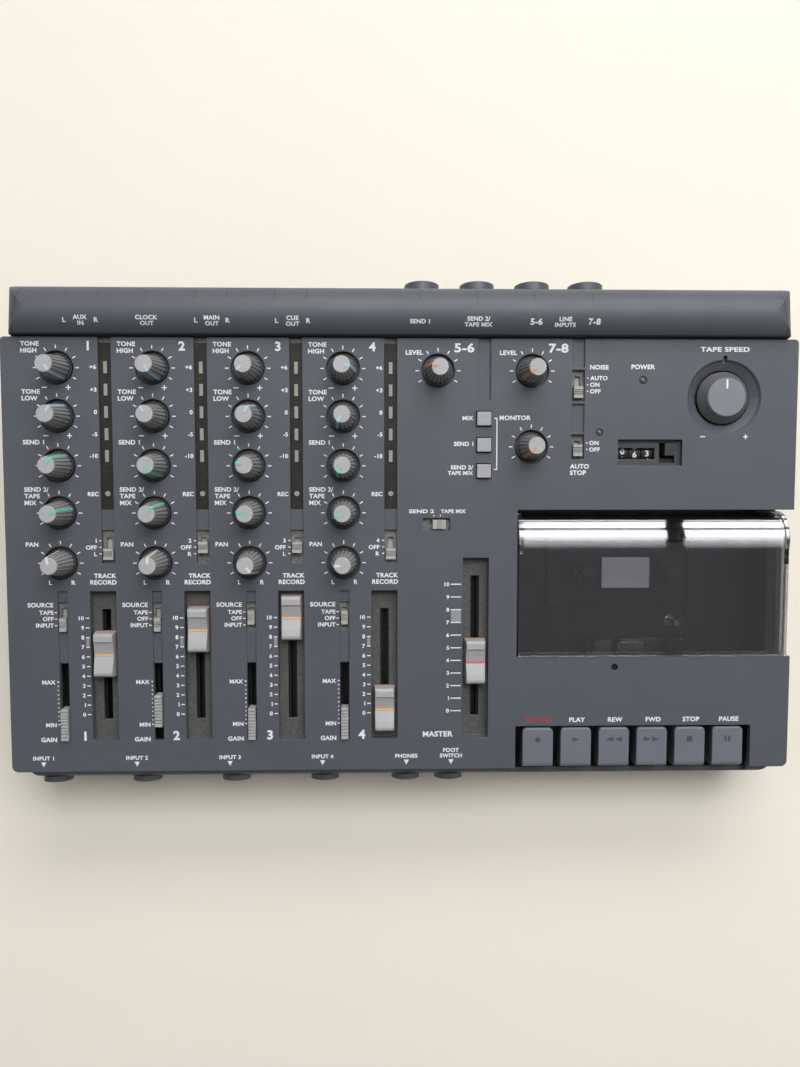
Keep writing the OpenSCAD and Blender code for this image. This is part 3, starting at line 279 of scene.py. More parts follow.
def cover_material():
    """Case plastic, with the fine seam of an end piece near each end of the hump."""
    def colour(f):
        inset = f.math("SUBTRACT", abs(PANEL_LO.x) / MM, f.math("ABSOLUTE", f.along(RIGHT, Vector())))
        lean = f.band(f.along(Vector((0, 1, 0)), COVER_LO), 0, 24, 7.7, 12.2)
        return f.mix(f.within(f.math("SUBTRACT", inset, lean), -0.17, 0.17), CASE, srgb(28, 28, 30))
    return plastic("cover_plastic", CASE, rough=0.5, mottle=0.045, dust=0.4, edge_wear_and_highlight=0.5, edge=0.0005,
                   body_colour=colour)


def panel_material():
    """The panel moulding: case plastic, with grey dust lying in its windows and troughs, painted shade on the
    counter pocket's floor, and near-black painted shade in the groove round the pitch knob.
    """
    def colour(f):
        depth, u = f.along(NORMAL), f.along(RIGHT)
        mixer = f.math("LESS_THAN", u, COUNTER_U[0] - 3)
        patchy = f.band(f.noise(0.0016, 4), 0.35, 0.7)
        low = f.math("MULTIPLY", f.within(depth, -WINDOW_DEPTH - 0.3, -WINDOW_DEPTH + 0.2), mixer)
        tone = f.mix(low, CASE, f.mix(patchy, srgb(86, 86, 85), srgb(134, 132, 122)))
        trough = f.math("MULTIPLY", f.within(depth, -TROUGH_DEPTH - 0.2, -TROUGH_DEPTH + 0.2), mixer)
        tone = f.mix(trough, tone, f.mix(patchy, srgb(70, 71, 70), srgb(92, 92, 85)))
        # Painted shade: the counter pocket's floor is painted darker than the case
        pocket_painted_shade = f.math("MULTIPLY", f.within(depth, -2.8, -2.4), f.within(u, *COUNTER_U))
        tone = f.mix(pocket_painted_shade, tone, srgb(62, 63, 66))
        # Painted shade: the deep ring groove round the pitch knob is painted near-black
        groove_painted_shade = f.math("MULTIPLY", f.math("LESS_THAN", depth, -3.5), f.math("GREATER_THAN", u, PITCH_DISH_U))
        return f.mix(groove_painted_shade, tone, srgb(16, 16, 17))
    return plastic("panel_plastic", CASE, rough=0.52, mottle=0.045, dust=0.5, edge_wear_and_highlight=0.5, edge=0.0005,
                   body_colour=colour)


def knob_material():
    """Dark skirt; a grey flank with painted shade towards its foot and painted shade in the flutes; and a
    painted highlight on the cap and the flank's top, the cap scalloped by the flutes.
    """
    def colour(f):
        h = f.along(NORMAL)
        open_sky = f.node("AmbientOcclusion", {"Distance": 0.0009}, samples=6, only_local=True).outputs["AO"]
        # Painted shade down the flank, and a painted highlight on its top millimetre and on the cap
        flank = f.mix(f.band(h, 0.0, KNOB_H), shade(KNOB_FLANK, 0.75), KNOB_FLANK)
        light = f.mix(f.math("GREATER_THAN", h, KNOB_H - 1.0), flank, KNOB_PAINTED_TOP_LIGHT)
        # Painted shade in the flutes, where ambient occlusion finds them hollow
        flute_painted_shade = f.mix(f.band(open_sky, 0.93, 0.74), light, srgb(46, 46, 46))
        top = f.mix(f.math("GREATER_THAN", h, KNOB_H - 0.35), flute_painted_shade, KNOB_PAINTED_TOP_LIGHT)
        return f.mix(f.math("LESS_THAN", h, -1.1), top, srgb(50, 51, 53))
    return plastic("knob_plastic", KNOB_FLANK, rough=0.46, grain=0.0003, bump=0.15, mottle=0.05,
                   edge_wear_and_highlight=0.25, edge=0.0002, body_colour=colour)


def key_material():
    """Keys: paler on top than down their sides, where little light reaches."""
    def colour(f):
        return f.mix(f.band(f.along(NORMAL), KEY_TOP - 0.7, KEY_TOP - 2.5), KEY_GREY, shade(KEY_GREY, 0.42))
    return plastic("key_plastic", KEY_GREY, rough=0.5, mottle=0.04, edge_wear_and_highlight=0.2, edge=0.0007,
                   body_colour=colour)


def pitch_knob_material():
    def colour(f):
        # Painted light: the top face is painted lighter than the flank below it
        top = f.math("GREATER_THAN", f.along(NORMAL), PITCH_TOP_H)
        return f.mix(top, srgb(98, 98, 100), srgb(124, 127, 133))
    return plastic("pitch_knob_plastic", CASE, rough=0.42, bump=0.12, edge_wear_and_highlight=0.3, edge=0.0005,
                   body_colour=colour)


def indicator_material():
    """Dark satin strips flecked with dust, and grey unlit bars and lamps standing on them."""
    def colour(f):
        where = f.place()
        fleck = f.band(f.noise(0.0006, 5, 0.8, where), 0.55, 0.66)
        fine = f.math("MULTIPLY", fleck, f.band(f.noise(0.007, 3, where=where), 0.44, 0.58))
        strip = f.mix(fine, STRIP_DARK, srgb(98, 92, 72))
        h = f.along(NORMAL)
        bars = f.mix(f.within(h, -1.05, -0.7), strip, BAR_GREY)
        return f.mix(f.math("GREATER_THAN", h, -0.7), bars, srgb(70, 70, 72))
    return plastic("strip_plastic", STRIP_DARK, rough=0.5, grain=0.0005, bump=0.1, mottle=0.08,
                   edge=0.00015, shine=0.3, body_colour=colour)


def nearest_axis(f, places, z, y_low, y_high):
    """Distance in millimetres, in the plane of x and z, to the nearest of a row of socket axes."""
    where = f.node("VectorMath", {0: f.place(), 1: (1, 0, 1)}, operation="MULTIPLY").outputs[0]
    least = 1.0
    for u in places:
        d = f.node("VectorMath", {0: where, 1: (PANEL_LO.x + u * MM, 0, z)}, operation="DISTANCE")
        least = f.math("MINIMUM", d.outputs["Value"], least)
    y = f.node("SeparateXYZ", {0: f.place()}).outputs["Y"]
    return f.math("DIVIDE", least, MM), f.within(y, y_low, y_high)


def socket_material():
    """Collars in the case's colour round black sockets."""
    front = (PANEL_LO.y - 0.02, PANEL_LO.y + 0.001)
    rear = (COVER_HI.y - 0.002, COVER_HI.y + 0.02)

    def colour(f):
        ring, ahead = nearest_axis(f, JACK_U, FRONT_JACK_Z, *front)
        rear_ring, behind = nearest_axis(f, REAR_JACK_U, REAR_JACK_Z, *rear)
        outer = f.math("MAXIMUM", f.math("MULTIPLY", f.math("GREATER_THAN", ring, 4.9), ahead),
                       f.math("MULTIPLY", f.math("GREATER_THAN", rear_ring, 4.9), behind))
        return f.mix(outer, BLACK, CASE)
    return plastic("socket_plastic", BLACK, rough=0.45, bump=0.12, edge=0.0004, edge_wear_and_highlight=0.2,
                   body_colour=colour)


def board_material():
    """Green board, with dark control cans standing on it."""
    def colour(f):
        board = f.math("LESS_THAN", f.along(NORMAL), BOARD_TOP_H)
        return f.mix(board, srgb(24, 24, 25), BOARD_GREEN)
    return plastic("board_lacquer", BOARD_GREEN, rough=0.4, mottle=0.1, edge=0.0002,
                   body_colour=colour)


def split_metal(name, is_metal, metal_colour, plastic_colour, rough=(0.32, 0.5)):
    """A node of two substances: is_metal gives 1 on its metal parts and 0 on its plastic ones."""
    f = Finish(name, metal_colour, rough[0])
    part = is_metal(f)
    smear = f.noise(0.008, 3)
    shiny = f.mix(smear, shade(metal_colour, 0.85), shade(metal_colour, 1.08))
    dull = f.mix(smear, shade(plastic_colour, 0.85), shade(plastic_colour, 1.15))
    f.set(f.shader, {"Base Color": f.mix(part, dull, shiny), "Metallic": part,
                     "Roughness": f.band(part, 0, 1, rough[1], rough[0])})
    f.soften(0.0002, f.noise(0.0005, 2), 0.12)
    return f.mat


def lid_material():
    """Smoked acrylic. Lamps pass straight through it, so that the well behind it is lit."""
    f = Finish("smoked_acrylic", (0.62, 0.62, 0.64, 1), 0.02)
    f.set(f.shader, {"Transmission Weight": 1.0, "IOR": 2.2})
    # Shading only: the flat top bends a little before its rolled rear, and the roll's steep end is
    # eased, so that it mirrors the window in bands
    v = f.along(UPHILL)
    bend, ease = f.band(v, *LID_BEND[:2]), f.band(v, *LID_BEND[1:])
    fall = f.math("ADD", f.math("MULTIPLY", f.math("MULTIPLY", bend, bend), -0.49),
                  f.math("MULTIPLY", f.math("MULTIPLY", ease, f.math("SUBTRACT", 2.0, ease)), -0.42))
    crest = f.math("MULTIPLY", f.math("POWER", f.band(v, LID_BEND[2], LID_BEND[2] + 5), 3), 2.7)
    ripple = f.math("ADD", crest, f.math("MULTIPLY", f.noise(0.05, 1), 0.03))
    f.soften(0.0006, f.math("ADD", fall, ripple), 1.0, MM)
    scratch = f.node("Mapping", {"Vector": f.place(), "Scale": (6, 1, 1)}).outputs[0]
    f.set(f.shader, {"Roughness": f.band(f.noise(0.004, 5, 0.7, scratch), 0.55, 0.8, 0.015, 0.10)})
    clear = f.node("BsdfTransparent", {"Color": (0.52, 0.52, 0.54, 1)}).outputs[0]
    shadow = f.node("LightPath").outputs["Is Shadow Ray"]
    both = f.node("MixShader", {0: shadow, 1: f.shader.outputs[0], 2: clear}).outputs[0]
    f.set(f.tree.nodes["Material Output"], {"Surface": both})
    return f.mat


def ink_material(name, colour, rough=0.6):
    """Printed ink, a little thin and worn in places."""
    f = Finish(name, colour, rough)
    thin = f.band(f.noise(0.0009, 4, 0.7), 0.30, 0.75)
    f.set(f.shader, {"Base Color": f.mix(thin, shade(colour, 0.80), colour)})
    return f.mat


def rubber_material():
    f = Finish("foot_rubber", srgb(28, 28, 29), 0.8, shine=0.3)
    where = f.node("SeparateXYZ", {0: f.place()}).outputs["X"]
    off_foot = f.math("SUBTRACT", f.math("ABSOLUTE", where), abs(PANEL_LO.x) - 0.030)
    screw = f.math("GREATER_THAN", f.math("ABSOLUTE", off_foot), 0.0095)
    grime = f.noise(0.003, 4)
    f.set(f.shader, {"Base Color": f.mix(screw, f.mix(grime, srgb(24, 24, 25), srgb(44, 44, 44)),
                                         srgb(150, 150, 148)),
                     "Metallic": screw, "Roughness": f.band(screw, 0, 1, 0.8, 0.4)})
    f.soften(0.0004, f.noise(0.0006, 3), 0.3)
    return f.mat


def material_of(node):
    """The finish of a CAD node, by its name."""
    known = {"top_case": "panel", "bottom_case": "case", "rear_cover": "cover", "indicators": "strip",
             "jack_sockets": "socket", "mixer_board": "board", "deck_frame": "well",
             "tape_drive": "drive", "feet_and_screws": "rubber", "tape_lid": "lid",
             "head_sled": "sled", "supply_spindle": "spindle", "takeup_spindle": "spindle",
             "counter_reset": "reset", "pitch_knob": "pitch", "channel_switch_levers": "lever",
             "effect_cue_switch": "lever", "noise_switch": "lever", "zero_return_switch": "lever"}
    if node in known:
        return known[node]
    for part, finish in (("knob", "knob"), ("fader", "cap"), ("trim_", "cap"), ("key_", "key"),
                         ("button", "button")):
        if part in node:
            return finish
    raise ValueError(node)


SLED_RUBBER_U = SPINDLE[0] + 15
FINISHES = {
    "case": case_material(),
    "cover": cover_material(),
    "panel": panel_material(),
    "strip": indicator_material(),
    "socket": socket_material(),
    "board": board_material(),
    "well": plastic("well_plastic", WELL_BLACK, rough=0.5, mottle=0.15, dust=0.5, bump=0.3),
    "drive": split_metal("drive_metal", lambda f: f.math("LESS_THAN", f.along(UPHILL), BAY_V + 76),
                         srgb(190, 190, 188), srgb(26, 26, 27)),
    "rubber": rubber_material(),
    "lid": lid_material(),
    "sled": split_metal("sled_metal", lambda f: f.math("MAXIMUM",
                        f.math("LESS_THAN", f.along(RIGHT), SLED_RUBBER_U),
                        f.math("LESS_THAN", f.along(NORMAL), WELL_H + 2.3)),
                        srgb(150, 150, 150), srgb(34, 32, 31)),
    "spindle": plastic("spindle_plastic", srgb(52, 52, 54), rough=0.4, edge=0.0003),
    "reset": plastic("reset_plastic", srgb(46, 46, 48), rough=0.4, edge=0.0004, edge_wear_and_highlight=0.3),
    "pitch": pitch_knob_material(),
    "knob": knob_material(),
    "cap": plastic("cap_plastic", CAP_GREY, rough=0.45, mottle=0.03, edge_wear_and_highlight=0.15, edge=0.0005),
    "lever": plastic("lever_plastic", LEVER_GREY, rough=0.5, mottle=0.05, edge=0.0003),
    "key": key_material(),
    "button": plastic("button_plastic", BUTTON_GREY, rough=0.5, mottle=0.03, edge=0.0007),
}
for name, obj in NODES.items():
    obj.data.materials.clear()
    obj.data.materials.append(FINISHES[material_of(name)])

WHITE_INK = ink_material("white_ink", INK)
GREY_INK = ink_material("grey_ink", srgb(150, 152, 156))
RED_INK = ink_material("red_ink", RECORD_RED)
DARK_MARK = ink_material("dark_mark", srgb(58, 60, 64))
DARK_KEY = ink_material("key_engraving", srgb(74, 76, 82), 0.7)

# ---------------------------------------------------------------- building pieces


class Piece:
    """Collects closed prisms and lettering in panel coordinates and makes one mesh of them."""

    def __init__(self, place=at):
        self.place = place
        self.points = []
        self.faces = []

    def add(self, points, faces):
        start = len(self.points)
        self.points += [self.place(*p) for p in points]
        self.faces += [tuple(start + i for i in f) for f in faces]

    def prism(self, outline, low, high):
        """A flat outline, listed anticlockwise, raised from h = low to h = high."""
        n = len(outline)
        points = [(x, y, low) for x, y in outline] + [(x, y, high) for x, y in outline]
        sides = [(i, (i + 1) % n, n + (i + 1) % n, n + i) for i in range(n)]
        self.add(points, [tuple(range(n))[::-1], tuple(range(n, 2 * n))] + sides)

    def box(self, u, v, h):
        self.prism([(u[0], v[0]), (u[1], v[0]), (u[1], v[1]), (u[0], v[1])], *h)

    def bar(self, a, b, width, h):
        """A straight bar between two points."""
        a, b = Vector(a), Vector(b)
        side = (b - a).normalized().orthogonal() * width / 2
        self.prism([tuple(a - side), tuple(b - side), tuple(b + side), tuple(a + side)]
                   if side.cross(b - a) < 0 else
                   [tuple(a + side), tuple(b + side), tuple(b - side), tuple(a - side)], *h)

    def disc(self, u, v, r, h, sides=24):
        self.prism([(u + r * math.cos(2 * math.pi * i / sides), v + r * math.sin(2 * math.pi * i / sides))
                    for i in range(sides)], *h)

    def text(self, body, u, v, cap, side="LEFT", width=None, h=0.01):
        """A line of lettering whose capitals are cap mm high and whose foot lies at v."""
        points, faces, ends = lettering(body)
        across = cap if width is None else width / (ends[1] - ends[0])
        shift = {"LEFT": ends[0], "RIGHT": ends[1], "CENTER": sum(ends) / 2}[side]
        self.add([(u + (x - shift) * across, v + y * cap, h + z) for x, y, z in points], faces)

    def make(self, name, material, body):
        mesh = bpy.data.meshes.new(name)
        mesh.from_pydata(self.points, [], self.faces)
        mesh.materials.append(material)
        mesh.update()
        obj = bpy.data.objects.new(name, mesh)
        bpy.context.scene.collection.objects.link(obj)
        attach(obj, body)
        return obj


LETTER_CACHE = {}
LETTER_STRETCH = 1.06
INK_T = 0.04


def raw_letters(body, bold):
    curve = bpy.data.curves.new("lettering", "FONT")
    curve.body = body
    curve.offset = bold
    curve.extrude = 0.5
    curve.resolution_u = 4
    curve.space_character = 1.06
    holder = bpy.data.objects.new("lettering", curve)
    bpy.context.scene.collection.objects.link(holder)
    mesh = bpy.data.meshes.new_from_object(holder.evaluated_get(bpy.context.evaluated_depsgraph_get()))
    points = [tuple(v.co) for v in mesh.vertices]
    faces = [tuple(p.vertices) for p in mesh.polygons]
    bpy.data.objects.remove(holder)
    bpy.data.curves.remove(curve)
    bpy.data.meshes.remove(mesh)
    return points, faces


def lettering(body, bold=0.034):
    """Points and faces of a line of lettering, its capitals 1 high, with its left and right ends."""
    if body not in LETTER_CACHE:
        if "H" not in LETTER_CACHE:
            heights = [p[1] for p in raw_letters("H", bold)[0]]
            LETTER_CACHE["H"] = (min(heights), max(heights) - min(heights))
        foot, cap = LETTER_CACHE["H"]
        points, faces = raw_letters(body, bold)
        points = [(x / cap * LETTER_STRETCH, (y - foot) / cap, (z + 0.5) * INK_T) for x, y, z in points]
        ends = (min(p[0] for p in points), max(p[0] for p in points))
        LETTER_CACHE[body] = (points, faces, ends)
    return LETTER_CACHE[body]


def on_slope(x, s, h=0.0):
    """A point on the hump's front slope: s runs up it from the height of the panel's back edge."""
    foot = math.pi - math.acos((CREST_Y - COVER_LO.y) / SLOPE_R)
    turn = foot - s * MM / SLOPE_R
    r = SLOPE_R + h * MM
    return Vector((PANEL_LO.x + x * MM, CREST_Y + r * math.cos(turn), CREST_Z - SLOPE_R + r * math.sin(turn)))


def on_roll(x, s, h=0.0):
    """A point on the hump's rear roll: s runs back from the crest."""
    turn = math.pi / 2 - s * MM / ROLL_R
    r = ROLL_R + h * MM
    return Vector((PANEL_LO.x + x * MM, CREST_Y + r * math.cos(turn), CREST_Z - ROLL_R + r * math.sin(turn)))


# ---------------------------------------------------------------- printed marks on the panel

LABEL_CAP, SMALL_CAP, NUMERAL_CAP = 2.15, 2.0, 4.3
TICK = (8.9, 10.6)
INK_H = (0.01, 0.05)

# Per channel, measured from the knob column: lettering, u, foot v, cap height, side
KNOB_LABELS = [
    ("TONE", -16.2, 202.0), ("HIGH", -16.2, 198.9), ("TONE", -16.2, 179.9), ("LOW", -16.2, 176.8),
    ("SEND 1", -16.2, 156.4), ("SEND 2/", -16.2, 134.3), ("TAPE", -16.2, 131.2),
    ("MIX", -16.2, 128.0), ("PAN", -16.2, 108.4), ("SOURCE", -16.1, 79.6),
]
METER_LABELS = [("+6", 191.4), ("+3", 180.9), ("0", 170.5), ("-5", 160.2), ("-10", 150.1), ("REC", 132.2)]
INPUT_LABELS = [("TAPE", 76.1), ("OFF", 73.05), ("INPUT", 69.95)]
INPUT_DASHES, RECORD_DASHES = (77.1, 74.0, 70.9), (111.2, 108.1, 105.0)


def knob_ticks(ink, u, v, minus_plus=False):
    for i in range(9):
        a = math.radians(-120 + 30 * i)
        way = Vector((math.sin(a), math.cos(a)))
        centre = Vector((u, v))
        ink.bar(centre + way * TICK[0], centre + way * TICK[1], 0.5, INK_H)
    if minus_plus:
        for s in (-1, 1):
            ink.bar((u + s * 5.5 - 1.2, v - 9.1), (u + s * 5.5 + 1.2, v - 9.1), 0.5, INK_H)
        ink.bar((u + 5.5, v - 10.3), (u + 5.5, v - 7.9), 0.5, (0.012, 0.052))


def channel_marks(ink, c):
    shift = (c - 1) * CHANNEL_PITCH
    knob, meter, fader, trim = (x + shift for x in (KNOB_U, METER_U, FADER_U, TRIM_U))
    for row, v in enumerate(ROW_V):
        knob_ticks(ink, knob, v, minus_plus=row < 2)
    for body, u, v in KNOB_LABELS:
        ink.text(body, knob + u, v, LABEL_CAP)
    for body, u in (("L", -5.1), ("R", 5.7)):
        ink.text(body, knob + u, 90.3, LABEL_CAP, "CENTER")
    ink.text(str(c), meter - 7, 200.0, NUMERAL_CAP, "RIGHT")
    for body, v in METER_LABELS:
        ink.text(body, meter - 3.9, v, SMALL_CAP, "RIGHT")
    for body, v in zip((str(c), "OFF", "LR"[(c + 1) % 2]), (110.2, 107.0, 103.9)):
        ink.text(body, meter - 5.4, v, SMALL_CAP, "RIGHT")
    for v in RECORD_DASHES:
        ink.box((meter - 4.2, meter - 3.15), (v - 0.25, v + 0.25), INK_H)
    for body, v in (("TRACK", 93.5), ("RECORD", 90.4)):
        ink.text(body, meter + 3.5, v, LABEL_CAP, "RIGHT")
    for body, v in INPUT_LABELS:
        ink.text(body, trim - 4.3, v, SMALL_CAP, "RIGHT")
    for v in INPUT_DASHES:
        ink.box((trim - 3.8, trim - 2.7), (v - 0.25, v + 0.25), INK_H)
    # Dotted scale beside the trim control
    for i in range(11):
        v = 23.05 + 2.075 * i
        wide = 0.95 if i in (0, 10) else 0.6
        ink.box((trim - 2.95 - wide / 2, trim - 2.95 + wide / 2), (v - 0.27, v + 0.27), INK_H)
    for body, v in (("MAX", 42.6), ("MIN", 21.9), ("GAIN", 14.7)):
        ink.text(body, trim - 4.2, v, SMALL_CAP if v > 20 else LABEL_CAP, "RIGHT")
    # Fader scale
    for i in range(11):
        v = FADER_ZERO + FADER_STEP * i
        ink.box((fader - 8.35, fader - 6.7), (v - 0.25, v + 0.25), INK_H)
        ink.text(str(i), fader - 9.25, v - 0.97, 1.95, "RIGHT")
    ink.text(str(c), fader - 9.3, 15.2, 4.5, "RIGHT")


def jack_arrows(ink):
    for u, lines in zip(JACK_U, [["INPUT " + str(c)] for c in CHANNELS] + [["PHONES"], ["FOOT", "SWITCH"]]):
        ink.prism([(u - 1.25, 4.8), (u, 2.4), (u + 1.25, 4.8)], *INK_H)
        for i, body in enumerate(reversed(lines)):
            ink.text(body, u, 5.7 + 2.7 * i, 1.95, "CENTER")


def master_marks(ink):
    for i in range(11):
        v = MASTER_ZERO + MASTER_STEP * i
        ink.box((210.0, 215.0), (v - 0.25, v + 0.25), INK_H)
        ink.text(str(i), 209.3, v - 0.95, 1.9, "RIGHT")
    ink.text("MASTER", 204.0, 16.0, 2.7, "CENTER")
    for u, body in ((195.95, "SEND 2"), (211.1, "TAPE MIX")):
        ink.text(body, u, 124.1, 1.8, "CENTER", width=11.9)
    for u in (201.9, 205.0):
        ink.box((u - 0.3, u + 0.3), (122.6, 123.2), INK_H)


def monitor_marks(ink):
    for body, v in (("5-6", 199.7), ("7-8", 199.7)):
        ink.text(body, 216.0 if body == "5-6" else 260.5, v, NUMERAL_CAP - 0.1, "CENTER", width=9.4)
    for u in (196.6, 240.9):
        ink.text("LEVEL", u, 198.5, LABEL_CAP, "RIGHT")
    ink.text("MONITOR", 232.8, 168.1, LABEL_CAP)
    for body, v in (("MIX", 168.0), ("SEND 1", 155.9), ("SEND 2/", 144.8), ("TAPE MIX", 142.2)):
        ink.text(body, 220.4, v, SMALL_CAP if v > 143 else 1.85, "RIGHT")
    # Bracket beside the three buttons
    ink.box((231.35, 231.85), (144.6, 169.2), INK_H)
    for v in (144.6, 168.7):
        ink.box((230.3, 231.36), (v, v + 0.5), INK_H)
    for joint in ("level_56_turn", "level_78_turn", "monitor_turn"):
        knob_ticks(ink, *joint_place(joint))


def tape_marks(ink):
    switch_u = TAPE_SWITCH_U - 0.5
    ink.text("NOISE", switch_u + 5.9, 191.9, LABEL_CAP)
    for body, v in (("AUTO", 186.9), ("ON", 183.8), ("OFF", 180.7), ("ON", 156.4), ("OFF", 153.3)):
        ink.text(body, switch_u + 6.0, v, SMALL_CAP)
        ink.disc(switch_u + 4.85, v + 1.0, 0.36, INK_H, 10)
    for body, v in (("AUTO", 145.2), ("STOP", 142.2)):
        ink.text(body, switch_u - 3.1, v, 2.2)
    ink.text("POWER", 300.8, 192.1, 2.2, "CENTER")
    ink.text("TAPE SPEED", 339.7, 200.4, 2.25, "CENTER", width=23.5)
    sign_u, sign_v = joint_place("pitch_turn")[0] + 0.3, 160.45
    for s in (-1, 1):
        ink.bar((sign_u + s * 10.3 - 1.15, sign_v), (sign_u + s * 10.3 + 1.15, sign_v), 0.55, INK_H)
    ink.bar((sign_u + 10.3, sign_v - 1.15), (sign_u + 10.3, sign_v + 1.15), 0.55, (0.012, 0.052))
    for i, body in enumerate(("", "PLAY", "REW", "FWD", "STOP", "PAUSE")):
        if body:
            ink.text(body, KEY_FIRST + KEY_PITCH * i + 0.6, 22.7, 2.3, "CENTER")


def panel_marks():
    ink = Piece()
    for c in CHANNELS:
        channel_marks(ink, c)
    jack_arrows(ink)
    master_marks(ink)
    monitor_marks(ink)
    tape_marks(ink)
    ink.make("panel_lettering", WHITE_INK, "case")

    blocks = Piece()
    for c in CHANNELS:
        fader = FADER_U + (c - 1) * CHANNEL_PITCH
        blocks.box((fader - 8.3, fader - 6.9),
                   (FADER_ZERO + 7 * FADER_STEP + 0.3, FADER_ZERO + 8 * FADER_STEP - 0.3), INK_H)
    blocks.box((210.2, 214.9),
               (MASTER_ZERO + 7 * MASTER_STEP + 0.35, MASTER_ZERO + 8 * MASTER_STEP - 0.35), INK_H)
    blocks.make("scale_blocks", GREY_INK, "case")

    record = Piece()
    record.text("RECORD", KEY_FIRST + 0.6, 22.9, 2.15, "CENTER")
    record.make("record_lettering", RED_INK, "case")


# ---------------------------------------------------------------- marks on the hump

# Feet of the two lines of a label, up the hump's front slope
LINE_FEET = (6.5, 3.86)
TICK_U = (32.8, 47.1, 69.2, 91.7, 106.0, 128.1, 142.7, 194.6, 221.3, 248.2, 275.1)


def hump_marks():
    ink = Piece(on_slope)
    pairs = [(PHONO_U[0], PHONO_U[1], ("AUX", "IN")), (PHONO_U[3], PHONO_U[4], ("MAIN", "OUT")),
             (PHONO_U[5], PHONO_U[6], ("CUE", "OUT"))]
    for left, right_one, words in pairs:
        ink.text("L", left - 1.2, 5.16, 2.2, "CENTER")
        ink.text("R", right_one - 1.2, 5.16, 2.2, "CENTER")
        for body, s in zip(words, LINE_FEET):
            ink.text(body, (left + right_one) / 2 - 1.2, s, 2.0, "CENTER")
    for body, s in zip(("CLOCK", "OUT"), LINE_FEET):
        ink.text(body, PHONO_U[2] - 0.8, s, 2.0, "CENTER")
    for u, lines in ((REAR_JACK_U[0] - 2, ("SEND 1",)), (REAR_JACK_U[1] - 2, ("SEND 2/", "TAPE MIX"))):
        for body, s in zip(lines, LINE_FEET if len(lines) == 2 else (5.25,)):
            ink.text(body, u, s, 2.0, "CENTER")
    ink.text("5-6", REAR_JACK_U[2] - 2.3, 4.85, 2.9, "CENTER")
    ink.text("7-8", REAR_JACK_U[3] - 1.7, 4.95, 2.9, "CENTER")
    for body, s in zip(("LINE", "INPUTS"), LINE_FEET):
        ink.text(body, (REAR_JACK_U[2] + REAR_JACK_U[3]) / 2 - 2.0, s, 2.0, "CENTER")
    ink.make("hump_lettering", WHITE_INK, "case")

    # A fine dark tick behind the crest for each rear socket
    ticks = Piece(on_roll)
    steps = [math.radians(a) * ROLL_R / MM for a in (18, 24.5, 31, 37.5, 44)]
    for x in TICK_U:
        for a, b in zip(steps, steps[1:]):
            ticks.box((x - 0.17, x + 0.17), (a, b), (-0.05, 0.02))
    ticks.make("hump_ticks", DARK_MARK, "case")


# ---------------------------------------------------------------- knobs and caps

def knob_pointer(body, joint, material):
    """A coloured line down the knob's flank from the cap to the skirt, and in over the cap."""
    u, v = joint_place(joint)
    rest = JOINTS[joint]["range_deg"]
    turn = math.radians(-(rest[0] + rest[1]) / 2)
    foot_r, top_r, half = 6.14, 4.26, 0.55
    foot_h, rim_h, top_h = -1.15, KNOB_H - 0.75, KNOB_H + 0.23
    way = (math.sin(turn), math.cos(turn))
    side = (math.cos(turn), -math.sin(turn))

    def spot(r, s, h):
        return (u + way[0] * r + side[0] * s, v + way[1] * r + side[1] * s, h)
    profile = [(foot_r, foot_h), (top_r, rim_h), (3.85, top_h), (0.9, top_h + 0.03)]
    inner = [(foot_r - 1.2, foot_h), (top_r - 1.2, rim_h - 0.6), (3.2, top_h - 0.6), (0.9, top_h - 0.6)]
    line = Piece()
    n = len(profile)
    points = [spot(r, s, h) for s in (-half, half) for r, h in profile + inner[::-1]]
    ring = 2 * n
    faces = [tuple(range(ring))[::-1], tuple(range(ring, 2 * ring))]
    faces += [(i, (i + 1) % ring, ring + (i + 1) % ring, ring + i) for i in range(ring)]
    line.add(points, faces)
    return line.make(joint.replace("_turn", "_pointer"), material, body)


def all_pointers():
    colours = {"eq_high": EQ_BLUE, "eq_low": EQ_BLUE, "effect_1": SEND_GREEN, "effect_2": SEND_GREEN,
               "pan": PAN_WHITE, "level_56": LEVEL_ORANGE, "level_78": LEVEL_ORANGE,
               "monitor": LEVEL_ORANGE}
    paints = {}
    for row, colour in colours.items():
        if colour not in paints:
            paints[colour] = ink_material("pointer_" + row, colour, 0.45)
        if row in ("level_56", "level_78", "monitor"):
            knob_pointer(row + "_knob", row + "_turn", paints[colour])
        else:
            for c in CHANNELS:
                knob_pointer(f"{row}_knob_{c}", f"{row}_{c}_turn", paints[colour])


def pitch_line():
    u, v = joint_place("pitch_turn")
    line = Piece()
    top = panel_span("pitch_knob")[1][2]
    line.box((u - 0.45, u + 0.45), (v + 4.0, v + 8.2), (top - 0.2, top + 0.03))
    line.make("pitch_line", WHITE_INK, "pitch_knob")


def fader_inlays():
    """The coloured line across each fader cap, and the coloured foot that shows behind it."""
    orange = plastic("inlay_orange", LINE_ORANGE, rough=0.4, mottle=0.05, bump=0.05)
    pink = plastic("inlay_pink", LINE_PINK, rough=0.4, mottle=0.05, bump=0.05)
    foot = plastic("fader_foot", srgb(158, 86, 58), rough=0.4, bump=0.05)
    for node in [f"fader_{c}" for c in CHANNELS] + ["master_fader"]:
        low, high = panel_span(node)
        u, v = (low[0] + high[0]) / 2, (low[1] + high[1]) / 2
        half = (high[0] - low[0]) / 2
        line = Piece()
        line.box((u - half + 0.62, u + half - 0.62), (v - 0.5, v + 0.5), (0.0, 0.33))
        line.make(node + "_line", pink if node.startswith("master") else orange, node)
        rim = Piece()
        rim.box((low[0] - 0.12, high[0] + 0.22), (low[1] + 0.3, high[1] + 0.3),
                (-TROUGH_DEPTH + 0.3, -TROUGH_DEPTH + 0.62))
        rim.make(node + "_foot", foot, node)


# ---------------------------------------------------------------- deck

